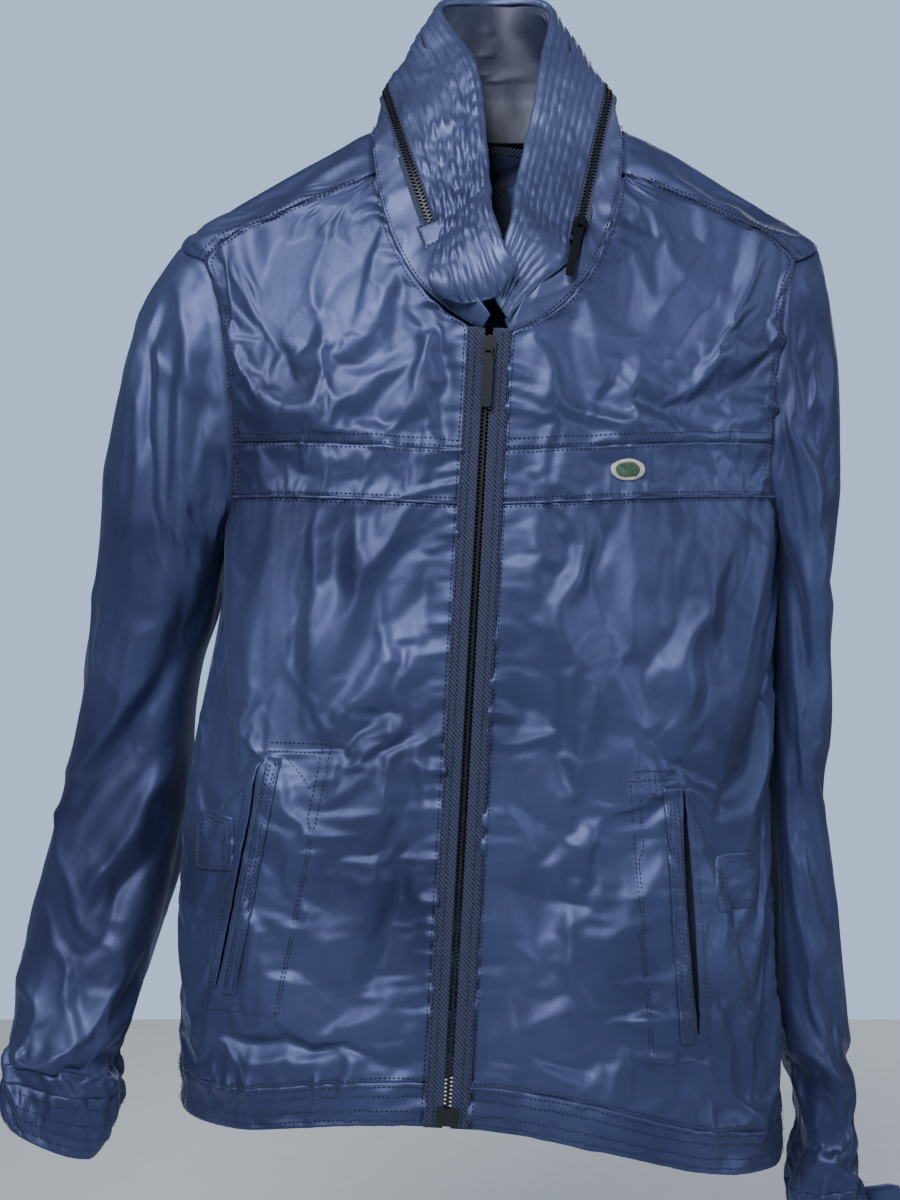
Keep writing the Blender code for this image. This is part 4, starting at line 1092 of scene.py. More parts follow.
def pocket_puckers(side, grid):
    """The dips and little folds that the pocket's stitching draws into the front."""
    slope = np.array([[slit_x(side, z) for z in row] for row in grid[..., 2]])
    across = (slope - grid[..., 0]) * side
    z = grid[..., 2]
    (_, top_z), (_, low_z) = POCKETS[side]
    wide = POCKET_WIDE[side]
    inside = ramp(z, low_z - 0.02, low_z - 0.008) * (1 - ramp(z, top_z + 0.008, top_z + 0.02))
    lift = seam_puckers(np.abs(across - wide), z, 81 + side, 0.0015, 0.012, 0.0008) * inside
    lift += seam_puckers(np.abs(across - 0.014), z, 83 + side, 0.0008, 0.006, 0.0005) * inside
    level = ramp(across, -0.01, 0.0) * (1 - ramp(across, wide, wide + 0.01))
    for height in (top_z + 0.012, low_z - 0.012):
        lift += seam_puckers(np.abs(z - height), grid[..., 0], 85 + side, 0.0012, 0.009, 0.0007) * level
    patch = level * inside
    return lift + patch * 0.0008


# ---------------- the back and the yoke

BACK_COLUMNS, BACK_ROWS = 88, (7, 104)
YOKE_COLUMNS, YOKE_ROWS = 120, 32


def back_grid():
    """The back in one grid, from the hem's edge up to the yoke's seam."""
    steps = [k / BACK_ROWS[0] for k in range(BACK_ROWS[0])]
    steps += [1 + k / BACK_ROWS[1] for k in range(BACK_ROWS[1] + 1)]

    def point(u, step):
        side = math.copysign(1, u)
        angle = side * (180 - 90 * abs(u))
        if step < 1:
            z = lerp(HEM_Z(angle), hem_seam_z(angle), step)
        else:
            z = lerp(hem_seam_z(angle), BACK_YOKE_Z, step - 1)
        reach = 90 if z < UNDERARM_Z else armhole_back(z)
        return body(side * (180 - reach * abs(u)), z)

    return sample(point, np.linspace(1, -1, BACK_COLUMNS + 1), steps)


def dress_back(grid):
    """The back with its folds and puckers, settled."""
    width, height = column_lengths(grid), row_lengths(grid)
    lift = (stroke_field(grid, BACK_FOLDS) + body_noise(grid + 3.0)) * side_calm(grid)
    edge = np.minimum(width, width[:, -1:] - width)
    lift *= np.where(grid[..., 2] > UNDERARM_Z, ramp(edge, 0, 0.012), 0.5 + 0.5 * ramp(edge, 0, 0.02))
    lift *= ramp(height[-1] - height, 0.0, 0.014)
    away = np.abs(height - height[BACK_ROWS[0]])
    lift += seam_puckers(away, width, 91, 0.0024)
    lift += seam_puckers(height[-1] - height, width, 92, 0.0011)
    placed = grid + radial(grid) * lift[..., None]
    held = np.zeros(lift.shape)
    held[:, 0] = 1
    held[:, -1] = 1
    held[-1] = 1
    held[0] = 0.6
    held[BACK_ROWS[0]] = 0.8
    return settle(placed, held)


def yoke_grid():
    """The yoke in one grid, from its front seams over the shoulders to its seam across the back."""

    def point(u, v):
        side = math.copysign(1, u)
        start, top, end = yoke_line(side, abs(u))
        share, low, high = (v / 0.4, start, top) if v < 0.4 else ((v - 0.4) / 0.6, top, end)
        return body(side * lerp(low[0], high[0], share), lerp(low[1], high[1], share))

    return sample(point, np.linspace(-1, 1, YOKE_COLUMNS + 1), np.linspace(0, 1, YOKE_ROWS + 1))


def dress_yoke(grid):
    width, height = column_lengths(grid), row_lengths(grid)
    edge = np.minimum(np.minimum(width, width[:, -1:] - width), np.minimum(height, height[-1] - height))
    lift = stroke_field(grid, YOKE_FOLDS) + body_noise(grid) * 0.45
    lift *= ramp(edge, 0.0, 0.012)
    lift += seam_puckers(height, width, 95, 0.0009)
    lift += seam_puckers(height[-1] - height, width, 96, 0.0009)
    ways = grid_normals(grid)
    ways = facing(ways, grid, np.array((0, 0, -0.3)))
    placed = grid + ways * lift[..., None]
    held = np.zeros(lift.shape)
    for part in (np.s_[:, 0], np.s_[:, -1], np.s_[0], np.s_[-1]):
        held[part] = 1
    return settle(placed, held, grow=0.015, gravity=0.1)


# ---------------- sleeves and cuffs

SLEEVE_COLUMNS, SLEEVE_ROWS = 84, 150
CUFF_ROWS = 14


def sleeve_grid(side, rings):
    """A sleeve's grid: a row for each step down the arm, each row a closed ring."""
    point = tube_surface(rings, lambda turn: armhole_point(side, turn))
    turns = [k * 360 / SLEEVE_COLUMNS for k in range(SLEEVE_COLUMNS)]
    return sample(point, turns, spread(0.0, float(len(rings)), SLEEVE_ROWS))


def ring_middles(grid):
    """For each point of a tube, the middle of its ring."""
    return np.repeat(np.mean(grid, axis=1, keepdims=True), grid.shape[1], axis=1)


def around(grid):
    """How far each point of a tube is round it, from its first column."""
    steps = np.linalg.norm(grid - np.roll(grid, 1, axis=1), axis=2)
    steps[:, 0] = 0
    return np.cumsum(steps, axis=1)


def dress_sleeve(side, grid, strokes):
    """A sleeve with its folds, its armhole puckers and the gathers above its cuff, settled."""
    ways = facing(grid_normals(grid, True), grid, ring_middles(grid))
    height, turn = row_lengths(grid), around(grid)
    front = ramp(-ways[..., 1], -0.15, 0.5)
    inward = ramp(-side * ways[..., 0], 0.2, 0.9)
    lift = stroke_field(grid, strokes) * front
    lift += body_noise(grid * (1, 1, 1.15) + 1.7) * 1.25
    lift *= 1 - 0.65 * inward
    lift *= ramp(height, 0.0, 0.03)
    to_cuff = height[-1] - height
    lift *= 0.25 + 0.75 * ramp(to_cuff, 0.0, 0.045)
    lift += seam_puckers(height, turn, 101 + side, 0.001)
    places = np.stack((turn, to_cuff * 0.12, np.zeros_like(turn)), axis=-1)
    lift += np.maximum(waves(places, 0.013, 103 + side), -0.8) * 0.0026 * np.exp(-to_cuff / 0.026)
    placed = grid + ways * lift[..., None]
    held = np.zeros(lift.shape)
    held[:3] = 1
    held[-2:] = 1
    return settle(placed, held, wrap=True, grow=0.022, gravity=0.12)


def cuff_grid(rings, last):
    """A cuff's grid, whose first ring is the settled sleeve's last."""
    turns = [k * 360 / SLEEVE_COLUMNS for k in range(SLEEVE_COLUMNS)]
    grid = sample(tube_surface(rings), turns, spread(0.0, 2.0, CUFF_ROWS))
    share = np.linspace(0, 1, CUFF_ROWS + 1)[:, None, None]
    return grid + (last - grid[0])[None] * (1 - share) ** 3


def dress_cuff(grid, seed):
    """A cuff gathered by its elastic, in narrow folds that run along the arm."""
    ways = facing(grid_normals(grid, True), grid, ring_middles(grid))
    height, turn = row_lengths(grid), around(grid)
    places = np.stack((turn, height * 0.25, np.zeros_like(turn)), axis=-1)
    gathers = np.abs(waves(places, 0.0085, seed)) * 0.0024
    between = np.sin(np.pi * np.clip(height / height[-1:], 0, 1)) ** 0.5
    lift = gathers * (0.35 + 0.65 * between) - 0.0003
    lift[0] = 0
    return grid + ways * lift[..., None]


# ---------------- the collar's pieces

COLLAR_COLUMNS, LOWER_ROWS, UPPER_ROWS = 170, 12, 44
QUILT_ROWS = (0.16, 0.28, 0.4, 0.52, 0.64, 0.76, 0.88)


def collar_out(w):
    """Roughly where the collar's outer side faces."""
    out = COLLAR_OUT(abs(w))
    return Vector((math.copysign(out.x, w), *out[1:]))


def collar_ways(grid, ws):
    """Outward normals of a grid of the collar, whose columns are at the shares ws."""
    hints = np.array([collar_out(w)[:] for w in ws])
    ways = grid_normals(grid)
    flip = np.sign(np.sum(ways * hints[None], axis=2, keepdims=True))
    return ways * np.where(flip == 0, 1, flip)


COLLAR_OUT = path(
    (0.0, 0.0, 1.0, 0.2),
    (0.2, 0.8, 0.6, 0.3),
    (SIDE_SHARE, 0.8, -0.4, 0.4),
    (0.45, 0.3, -0.8, 0.45),
    (1.0, 0.1, -0.9, 0.3),
)
COLLAR_WS = np.linspace(-1, 1, COLLAR_COLUMNS + 1)


def tape_gap(w):
    """From the hood zip's middle to the cloth; past the zip's ends the two bands meet."""
    return HOOD_TAPE_HALF * 0.8 * (1 - smooth_step(abs(w), ZIP_END, 0.76)) + 0.0001


def smooth_step(value, low, high):
    t = min(max((value - low) / (high - low), 0), 1)
    return t * t * (3 - 2 * t)


def closing(w):
    """The collar's front ends lean together over the top of the front zip."""
    near = smooth_step(abs(w), 0.8, 1.0)
    if w < 0:
        return Vector((0.013, -0.001, -0.006)) * near
    return Vector((-0.009, 0.0015, -0.005)) * near


def top_shift(w):
    """The left top edge leans to the middle, to leave the narrow gap of a collar that is zipped up."""
    return Vector((-0.0065, 0, 0)) * smooth_step(w, 0.45, 0.75)


def nose_shift(w):
    """At its right front end the quilted band stays wide, and folds down over the lower band."""
    return Vector((-0.034, -0.006, 0.003)) * smooth_step(-w, 0.74, 0.97)


def nose_round(w, v):
    """The end of the quilted band is gathered: its corners draw up and its edge curls inwards."""
    near, edge = smooth_step(-w, 0.84, 1.0), smooth_step(-w, 0.93, 1.0)
    corner = abs(2 * v - 1) ** 3
    return Vector((-0.003, 0.001, 0.013)) * near * corner + Vector((0.001, 0.0075, 0.001)) * edge


def collar_inner(w, v):
    """The collar's surface as dressed, for what lies behind it."""
    low, high = collar_low(w, v / 0.3), collar_high(w, (v - 0.3) / 0.7)
    return low if v < 0.3 else high


def collar_low(w, v):
    """The lower band, from the neckline seam up to the hood zip."""
    end = hood_line(w) - hood_across(w) * tape_gap(w)
    return lerp(collar_base(w), end, v) + closing(w)


def collar_high(w, v):
    """The quilted band, from the hood zip up to the collar's top edge."""
    start = hood_line(w) + hood_across(w) * tape_gap(w)
    low = start + closing(w) + nose_shift(w)
    return lerp(low, COLLAR_TOP(w) + closing(w) + top_shift(w), v) + nose_round(w, v)


def front_bulge(ws, vs):
    """How the folded collar stands out at its two front ends, most on the wearer's right."""
    w = ws[None, :] * np.ones((len(vs), 1))
    v = vs[:, None] * np.ones((1, len(ws)))
    right = np.clip((-0.74 - w) / 0.26, 0, 1)
    left = np.clip((w - 0.72) / 0.28, 0, 1)
    swell = 0.0095 * np.sin(np.pi * right * 0.8) ** 0.8 + 0.003 * np.sin(np.pi * left) ** 0.8
    return swell * (0.55 + 0.45 * v)


def dress_lower(grid):
    vs = np.linspace(0, 1, LOWER_ROWS + 1)
    ways = collar_ways(grid, COLLAR_WS)
    width, height = column_lengths(grid), row_lengths(grid)
    lift = (creases(grid, 0.022, 111) - 0.35) * 0.0011 + waves(grid, 0.035, 112) * 0.0007
    lift *= ramp(height, 0.0, 0.006)
    lift += seam_puckers(height, width, 113, 0.0009, 0.008, 0.0004)
    lift += seam_puckers(height[-1] - height, width, 114, 0.0007, 0.006, 0.0003)
    lift += front_bulge(COLLAR_WS, vs) * np.sin(np.pi * vs / 2)[:, None]
    return grid + ways * lift[..., None]


def dress_upper(grid):
    """The quilted band: puffed channels between its rows of stitches, crinkled across them."""
    vs = np.linspace(0, 1, UPPER_ROWS + 1)
    ways = collar_ways(grid, COLLAR_WS)
    width = column_lengths(grid)
    marks = np.array((0.04,) + QUILT_ROWS + (0.97,))
    low = np.clip(np.searchsorted(marks, vs, side="right") - 1, 0, len(marks) - 2)
    share = np.clip((vs - marks[low]) / (marks[low + 1] - marks[low]), 0, 1)
    puff = (1 - (2 * share - 1) ** 2)[:, None]
    w = COLLAR_WS[None, :]
    crumpled = ramp(-w, 0.42, 0.55) * (1 - ramp(-w, 0.8, 0.92)) * 1.1
    crumpled = crumpled + 0.35 * ramp(np.abs(w), 0.3, 0.45)
    row_places = np.repeat(vs[:, None] * 0.022, len(COLLAR_WS), axis=1)
    places = np.stack((width, grid[..., 2] * 0.2, row_places), axis=-1)
    wrinkles = np.abs(waves(places, 0.0072, 121)) - 0.5
    knots = creases(grid, 0.01, 122) - 0.35
    lift = 0.0008 * puff + (0.35 + 0.65 * puff) * wrinkles * 0.0008 * (0.5 + crumpled)
    lift += knots * 0.0013 * (0.3 + crumpled)
    lift += waves(grid, 0.04, 123) * 0.0007
    lift *= ramp(vs, 0.0, 0.06)[:, None] * (1 - 0.3 * ramp(np.abs(w), 0.84, 0.97))
    gathers = np.sin(vs * 46.0 + 1.3 * np.sin(vs * 17.0))[:, None] * ramp(-w, 0.88, 0.99)
    lift += front_bulge(COLLAR_WS, vs) + gathers * 0.0011
    return grid + ways * lift[..., None]


def collar_inset(w, v):
    """How far inside the collar's outer surface its lining lies."""
    return 0.003 + (COLLAR_DEPTH(abs(w)) - 0.003) * (1 - v**3)


def lining_grid(ws, vs, depth):
    """A layer inside the collar, depth(w, v) behind its surface."""
    grid = sample(collar_inner, ws, vs)
    ways = collar_ways(grid, ws)
    deep = np.array([[depth(w, v) for w in ws] for v in vs])
    return grid - ways * deep[..., None]


# ---------------- zips

TOOTH_PITCH = 0.0026
TOOTH = ((0.003, -0.0004), (0.0014, -0.0004), (0.001, -0.0008), (-0.0006, -0.0007),
         (-0.0009, -0.0003), (-0.0009, 0.0003), (-0.0006, 0.0007), (0.001, 0.0008),
         (0.0014, 0.0004), (0.003, 0.0004))


def teeth(name, places, side, finish, half_thick=0.0011):
    """A row of moulded teeth; places are matrices from (across, along, out) to the drawing."""
    points, faces = [], []
    count = len(TOOTH)
    for place in places:
        base = len(points)
        for out, shrink in ((-half_thick, 1.0), (half_thick * 0.7, 1.0), (half_thick, 0.72)):
            for x, y in TOOTH:
                x = 0.001 + (x - 0.001) * shrink
                points.append(place @ Vector((side * x, y * shrink, out)))
        faces.append([base + k for k in range(count)])
        faces.append([base + 2 * count + k for k in range(count)])
        for ring in (0, count):
            for k in range(count):
                after = (k + 1) % count
                a, b = base + ring + k, base + ring + after
                faces.append([a, b, b + count, a + count])
    return solid(name, points, faces, finish, smooth=False)


def strip_grid(place, near, far, low, high, rows, columns=4):
    """A flat strip in a zip's frame, between two distances across and along it."""
    grid = [
        [(place @ Vector((x, y, 0)))[:] for x in np.linspace(near, far, columns + 1)]
        for y in np.linspace(low, high, rows + 1)
    ]
    return np.array(grid)


# ---------------- materials


def nodes_of(name, colour, roughness, metallic=0.0):
    """A new material, its node tree and its shader."""
    made = bpy.data.materials.new(name)
    made.use_nodes = True
    tree = made.node_tree
    shader = tree.nodes["Principled BSDF"]
    shader.inputs["Base Color"].default_value = colour
    shader.inputs["Roughness"].default_value = roughness
    shader.inputs["Metallic"].default_value = metallic
    return made, tree, shader


def object_place(tree):
    """Where a point is on its object, for patterns that don't follow the cut."""
    return tree.nodes.new("ShaderNodeTexCoord").outputs["Object"]


def cut_place(tree):
    """Where a point is on the cloth as it was cut, in metres."""
    node = tree.nodes.new("ShaderNodeUVMap")
    node.uv_map = "cut"
    return node.outputs["UV"]


def noise_node(tree, vector, scale, detail=3.0, roughness=0.5):
    node = tree.nodes.new("ShaderNodeTexNoise")
    node.inputs["Scale"].default_value = scale
    node.inputs["Detail"].default_value = detail
    node.inputs["Roughness"].default_value = roughness
    tree.links.new(vector, node.inputs["Vector"])
    return node


def tint(tree, shader, value, low, high, dark, light):
    """Colours the shader from dark to light as the value goes from low to high."""
    node = tree.nodes.new("ShaderNodeValToRGB")
    node.color_ramp.elements[0].position = low
    node.color_ramp.elements[0].color = dark
    node.color_ramp.elements[1].position = high
    node.color_ramp.elements[1].color = light
    tree.links.new(value, node.inputs["Fac"])
    tree.links.new(node.outputs["Color"], shader.inputs["Base Color"])


def roughen(tree, shader, value, low, high):
    """The shader's roughness goes from low to high as the value goes from 0 to 1."""
    node = tree.nodes.new("ShaderNodeMapRange")
    node.inputs["To Min"].default_value = low
    node.inputs["To Max"].default_value = high
    tree.links.new(value, node.inputs["Value"])
    tree.links.new(node.outputs["Result"], shader.inputs["Roughness"])


def bump_node(tree, shader, height, strength, distance, before=None):
    """Relief on the shader's normal, on top of the relief before it."""
    node = tree.nodes.new("ShaderNodeBump")
    node.inputs["Strength"].default_value = strength
    node.inputs["Distance"].default_value = distance
    tree.links.new(height, node.inputs["Height"])
    if before is not None:
        tree.links.new(before, node.inputs["Normal"])
    tree.links.new(node.outputs["Normal"], shader.inputs["Normal"])
    return node.outputs["Normal"]


def wave_node(tree, vector, scale, direction="X", distortion=0.0):
    node = tree.nodes.new("ShaderNodeTexWave")
    node.bands_direction = direction
    node.inputs["Scale"].default_value = scale
    node.inputs["Distortion"].default_value = distortion
    tree.links.new(vector, node.inputs["Vector"])
    return node


def nylon(name, dark, light, roughness=0.5, metallic=0.6):
    """Shiny woven nylon: a sheen with the cloth's own colour, fine creases and a faint weave."""
    made, tree, shader = nodes_of(name, light, roughness, metallic)
    place = object_place(tree)
    drawn = tree.nodes.new("ShaderNodeMapping")
    drawn.inputs["Scale"].default_value = (1.0, 0.7, 0.38)
    drawn.inputs["Rotation"].default_value = (0, 0.35, 0)
    tree.links.new(place, drawn.inputs["Vector"])
    cloudy = noise_node(tree, place, 9.0, 4.0)
    tint(tree, shader, cloudy.outputs["Fac"], 0.3, 0.7, dark, light)
    worn = noise_node(tree, place, 55.0, 6.0, 0.62)
    roughen(tree, shader, worn.outputs["Fac"], roughness - 0.07, roughness + 0.12)
    shader.inputs["Sheen Weight"].default_value = 0.12
    shader.inputs["Sheen Roughness"].default_value = 0.45
    shader.inputs["Sheen Tint"].default_value = (0.45, 0.56, 0.85, 1)
    crumple = noise_node(tree, drawn.outputs["Vector"], 75.0, 8.0, 0.58)
    first = bump_node(tree, shader, crumple.outputs["Fac"], 0.25, 0.0018)
    crisp = noise_node(tree, drawn.outputs["Vector"], 36.0, 3.0, 0.5)
    crisp.noise_type = "RIDGED_MULTIFRACTAL"
    crisp.inputs["Distortion"].default_value = 0.25
    first = bump_node(tree, shader, crisp.outputs["Fac"], 0.3, 0.0012, first)
    weave = wave_node(tree, cut_place(tree), 900.0, "DIAGONAL")
    bump_node(tree, shader, weave.outputs["Fac"], 0.05, 0.0002, first)
    return made


def twill(name, dark, light):
    """Cotton-like twill tape: slanting ribs of two tones."""
    made, tree, shader = nodes_of(name, light, 0.72)
    ribs = wave_node(tree, cut_place(tree), 210.0, "DIAGONAL", 0.8)
    tint(tree, shader, ribs.outputs["Fac"], 0.15, 0.85, dark, light)
    place = object_place(tree)
    fuzz = noise_node(tree, place, 700.0, 2.0)
    first = bump_node(tree, shader, ribs.outputs["Fac"], 0.9, 0.0006)
    bump_node(tree, shader, fuzz.outputs["Fac"], 0.25, 0.0004, first)
    shader.inputs["Sheen Weight"].default_value = 0.1
    shader.inputs["Sheen Tint"].default_value = (0.5, 0.55, 0.75, 1)
    return made


def moulded(name, colour, roughness, metallic=0.0, grain=400.0):
    """Moulded plastic or plated metal with a fine uneven surface."""
    made, tree, shader = nodes_of(name, colour, roughness, metallic)
    place = object_place(tree)
    grains = noise_node(tree, place, grain, 4.0)
    dark = tuple(c * 0.6 for c in colour[:3]) + (1,)
    tint(tree, shader, grains.outputs["Fac"], 0.35, 0.7, dark, colour)
    roughen(tree, shader, grains.outputs["Fac"], roughness - 0.08, roughness + 0.1)
    bump_node(tree, shader, grains.outputs["Fac"], 0.15, 0.0002)
    return made


def knit_mesh(name, dark, light):
    """Open warp-knit mesh: rows of small dark holes."""
    made, tree, shader = nodes_of(name, light, 0.65)
    place = object_place(tree)
    cells = tree.nodes.new("ShaderNodeTexVoronoi")
    cells.inputs["Scale"].default_value = 420.0
    cells.inputs["Randomness"].default_value = 0.15
    tree.links.new(place, cells.inputs["Vector"])
    tint(tree, shader, cells.outputs["Distance"], 0.16, 0.34, dark, light)
    bump_node(tree, shader, cells.outputs["Distance"], 0.8, 0.0006)
    return made


def embroidery(name, dark, light):
    """Close satin stitches, side by side."""
    made, tree, shader = nodes_of(name, light, 0.5)
    place = object_place(tree)
    threads = wave_node(tree, place, 620.0, "X", 1.2)
    tint(tree, shader, threads.outputs["Fac"], 0.2, 0.8, dark, light)
    bump_node(tree, shader, threads.outputs["Fac"], 0.8, 0.0004)
    shader.inputs["Sheen Weight"].default_value = 0.3
    return made


# ---------------- the finishes

NAVY_DARK, NAVY_LIGHT = (0.019, 0.026, 0.082, 1), (0.058, 0.077, 0.194, 1)
shell = nylon("shell_nylon_cloth", NAVY_DARK, NAVY_LIGHT)
collar_cloth = nylon("collar_cloth", (0.03, 0.04, 0.112, 1), (0.082, 0.104, 0.235, 1), 0.48, 0.58)
tape = twill("twill_tape", (0.004, 0.007, 0.022, 1), (0.021, 0.031, 0.096, 1))
# The lining is a very dark navy: partly the cloth's own colour, partly painted shade of the jacket's inside.
lining = nylon("lining_cloth_with_painted_shade", (0.007, 0.01, 0.028, 1), (0.017, 0.023, 0.058, 1), 0.5, 0.3)
# The stitches are near-black: the thread's own navy, darkened with painted shade of the needle holes and seam
# grooves.
thread_painted_shade = moulded("stitch_with_painted_shade", (0.004, 0.006, 0.016, 1), 0.55)
black_teeth = moulded("moulded_teeth_black", (0.007, 0.01, 0.014, 1), 0.32)
dark_metal = moulded("slider_metal", (0.026, 0.03, 0.042, 1), 0.36, 0.8, 1500.0)
blue_knit = knit_mesh("back_mesh_blue", (0.004, 0.01, 0.03, 1), (0.02, 0.06, 0.21, 1))
badge_thread = embroidery("badge_thread", (0.01, 0.045, 0.022, 1), (0.035, 0.12, 0.06, 1))
badge_rim = embroidery("badge_rim", (0.3, 0.32, 0.3, 1), (0.62, 0.64, 0.6, 1))
label_cloth = twill("label_cloth", (0.02, 0.026, 0.055, 1), (0.05, 0.06, 0.11, 1))

SHELL_THICK, COLLAR_THICK = 0.0011, 0.0012
TOP_STITCHES = (0.0022, 0.0075)  # from a seam to its two rows of stitches
HEM_STITCHES = (0.004, 0.0105)  # from the edge of the hem to its two rows
ARMHOLE_STITCHES = (-0.0024, -0.0064)
threads = {}


def sewn(piece, node, place="torso"):
    """The piece rides the body called place, and is seen instead of the CAD's node."""
    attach(piece, place)
    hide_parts(node)


def thread_of(place):
    """The stitches that belong to one place on the jacket."""
    return threads.setdefault(place, Thread())


def seam_stitches(place, grid, row, gap, outs, first=0, last=None, lift=0.0005):
    """A line of stitches along a grid's row, gap metres up (or down) the grid from it."""
    height = row_lengths(grid)
    stop = grid.shape[1] if last is None else last
    places, ways = [], []
    for column in range(first, stop):
        target = height[row, column] + gap
        r = float(np.interp(target, height[:, column], np.arange(grid.shape[0])))
        places.append(at_grid(grid, r, column))
        ways.append(at_grid(outs, r, column))
    thread_of(place).line(np.array(places), np.array(ways), lift)


def edge_stitches(place, grid, column, gap, outs, first=0, last=None):
    """A line of stitches along a grid's column, gap metres along the rows from it."""
    width = column_lengths(grid)
    stop = grid.shape[0] if last is None else last
    places, ways = [], []
    for row in range(first, stop):
        target = width[row, column] + gap
        c = float(np.interp(target, width[row], np.arange(grid.shape[1])))
        places.append(at_grid(grid, row, c))
        ways.append(at_grid(outs, row, c))
    thread_of(place).line(np.array(places), np.array(ways))


# ---------------- the torso's panels

fronts = {}
for side_name, side in SIDES.items():
    fronts[side] = dress_front(side, front_grid(side))
back = dress_back(back_grid())
yoke = dress_yoke(yoke_grid())


def slit_holes(side, grid):
    """Which cells of the front lie in the open slit of the pocket."""
    holes = np.zeros((grid.shape[0] - 1, grid.shape[1] - 1), bool)
    (_, top_z), (_, low_z) = POCKETS[side]
    column = SLIT_COLUMN[side]
    z = grid[:, column, 2]
    holes[:, column] = (z[1:] < top_z) & (z[:-1] > low_z)
    return holes


def cloth_area(grid, wrap=False):
    """The area of a grid of cloth, for its flat size."""
    width = column_lengths(grid)[:, -1].mean()
    height = row_lengths(grid)[-1].mean()
    if wrap:
        width += np.mean(np.linalg.norm(grid[:, 0] - grid[:, -1], axis=1))
    return float(width), float(height)


def hung(grid, wrap=False):
    """Measures the grid that a sewn panel was made from; the sizes are not kept."""
    width, height = cloth_area(grid, wrap)


for side_name, side in SIDES.items():
    whole = fronts[side]
    outs = radial(whole)
    holes = slit_holes(side, whole)
    hem_row, piping_row, chest_row = front_seam_rows()
    parts = (
        ("hem_front", 0, hem_row),
        ("front_lower", hem_row, piping_row),
        ("chest_band", piping_row, chest_row),
        ("front_upper", chest_row, whole.shape[0] - 1),
    )
    for part, low, high in parts:
        grid = whole[low:high + 1]
        piece = panel(f"look_{part}_{side_name}", grid, shell, SHELL_THICK, False, holes[low:high],
                      outwards=outs[low:high + 1])
        sewn(piece, f"{part}_{side_name}")
        hung(grid)
    normals = facing(grid_normals(whole), whole, np.array((0, 0.2, -0.3)))
    for row, gaps in ((hem_row, (-0.003, 0.0028, -0.009)), (chest_row, (0.0022, 0.0075, -0.0022)),
                      (piping_row, (-0.0028, 0.0035)), (0, HEM_STITCHES)):
        for gap in gaps:
            seam_stitches("torso", whole, row, gap, normals)
    edge_stitches("torso", whole, 0, 0.0036, normals)
    arm_row = int(np.argmin(np.abs(whole[:, -1, 2] - UNDERARM_Z)))
    for gap in ARMHOLE_STITCHES:
        edge_stitches("torso", whole, whole.shape[1] - 1, gap, normals, arm_row)
    for line in pocket_lines(side):
        places, ways = [], []
        column_x = whole[..., 0]
        for off, z in line:
            row = int(np.argmin(np.abs(whole[:, SLIT_COLUMN[side], 2] - z)))
            x = slit_x(side, z) - side * off
            order = np.argsort(column_x[row])
            column = float(np.interp(x, column_x[row][order], np.arange(whole.shape[1])[order]))
            exact = float(np.interp(z, whole[:, int(column), 2], np.arange(whole.shape[0])))
            places.append(at_grid(whole, exact, column))
            ways.append(at_grid(normals, exact, column))
        thread_of("torso").line(np.array(places), np.array(ways), 0.0004)
    line = whole[piping_row] + normals[piping_row] * 0.0006
    piping = rod(f"look_piping_{side_name}", line, 0.0011, shell)
    sewn(piping, f"piping_{side_name}")

back_hem = BACK_ROWS[0]
back_outs = radial(back)
back_normals = facing(grid_normals(back), back, np.array((0, -0.2, -0.3)))
for part, low, high in (("hem_back", 0, back_hem), ("back_panel", back_hem, back.shape[0] - 1)):
    grid = back[low:high + 1]
    piece = panel(f"look_{part}", grid, shell, SHELL_THICK, outwards=back_outs[low:high + 1])
    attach(piece, "torso")
    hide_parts(part)
    hung(grid)
for row, gaps in ((back_hem, (-0.003, 0.0028)), (0, HEM_STITCHES),
                  (back.shape[0] - 1, (-0.0022, -0.0075))):
    for gap in gaps:
        seam_stitches("torso", back, row, gap, back_normals)
yoke_normals = facing(grid_normals(yoke), yoke, np.array((0, 0, -0.3)))
piece = panel("look_shoulder_yoke", yoke, shell, SHELL_THICK, outwards=yoke_normals)
sewn(piece, "shoulder_yoke")
hung(yoke)
first = int(YOKE_COLUMNS * (1 - YOKE_FRONT) / 2)
for start, stop in ((0, first), (YOKE_COLUMNS + 1 - first, YOKE_COLUMNS + 1)):
    for gap in TOP_STITCHES:
        seam_stitches("torso", yoke, 0, gap, yoke_normals, start, stop)
seam_stitches("torso", yoke, YOKE_ROWS, -0.0022, yoke_normals)

# ---------------- sleeves and cuffs

for side_name, side in SIDES.items():
    rings, cuff_rings = (RIGHT_RINGS, RIGHT_CUFF) if side < 0 else (LEFT_RINGS, LEFT_CUFF)
    folds = RIGHT_SLEEVE_FOLDS if side < 0 else LEFT_SLEEVE_FOLDS
    sleeve = dress_sleeve(side, sleeve_grid(side, rings), folds)
    sleeve_outs = facing(grid_normals(sleeve, True), sleeve, ring_middles(sleeve))
    tucked = sleeve[0] - sleeve_outs[0] * 0.0016 - np.array((side * 0.005, 0, 0))
    edged = np.concatenate((tucked[None], sleeve))
    outs = facing(grid_normals(edged, True), edged, ring_middles(edged))
    piece = panel(f"look_sleeve_{side_name}", edged, shell, SHELL_THICK, True, outwards=outs)
    armhole = Vector(np.mean(sleeve[0], axis=0)) - HOOK
    start = armhole + Vector((side * -0.004, 0, 0))
    hung(sleeve, True)
    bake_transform(piece)
    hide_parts(f"sleeve_{side_name}")
    cuff = dress_cuff(cuff_grid(cuff_rings, sleeve[-1]), 131 + side)
    cuff_outs = facing(grid_normals(cuff, True), cuff, ring_middles(cuff))
    piece = panel(f"look_cuff_{side_name}", cuff, shell, 0.0016, True, outwards=cuff_outs)
    sewn(piece, f"cuff_{side_name}", f"sleeve_{side_name}")
    hung(cuff, True)
    for row in (2, 5, 8, 11):
        seam_stitches(f"sleeve_{side_name}", cuff, row, 0.0, cuff_outs)

# ---------------- the collar

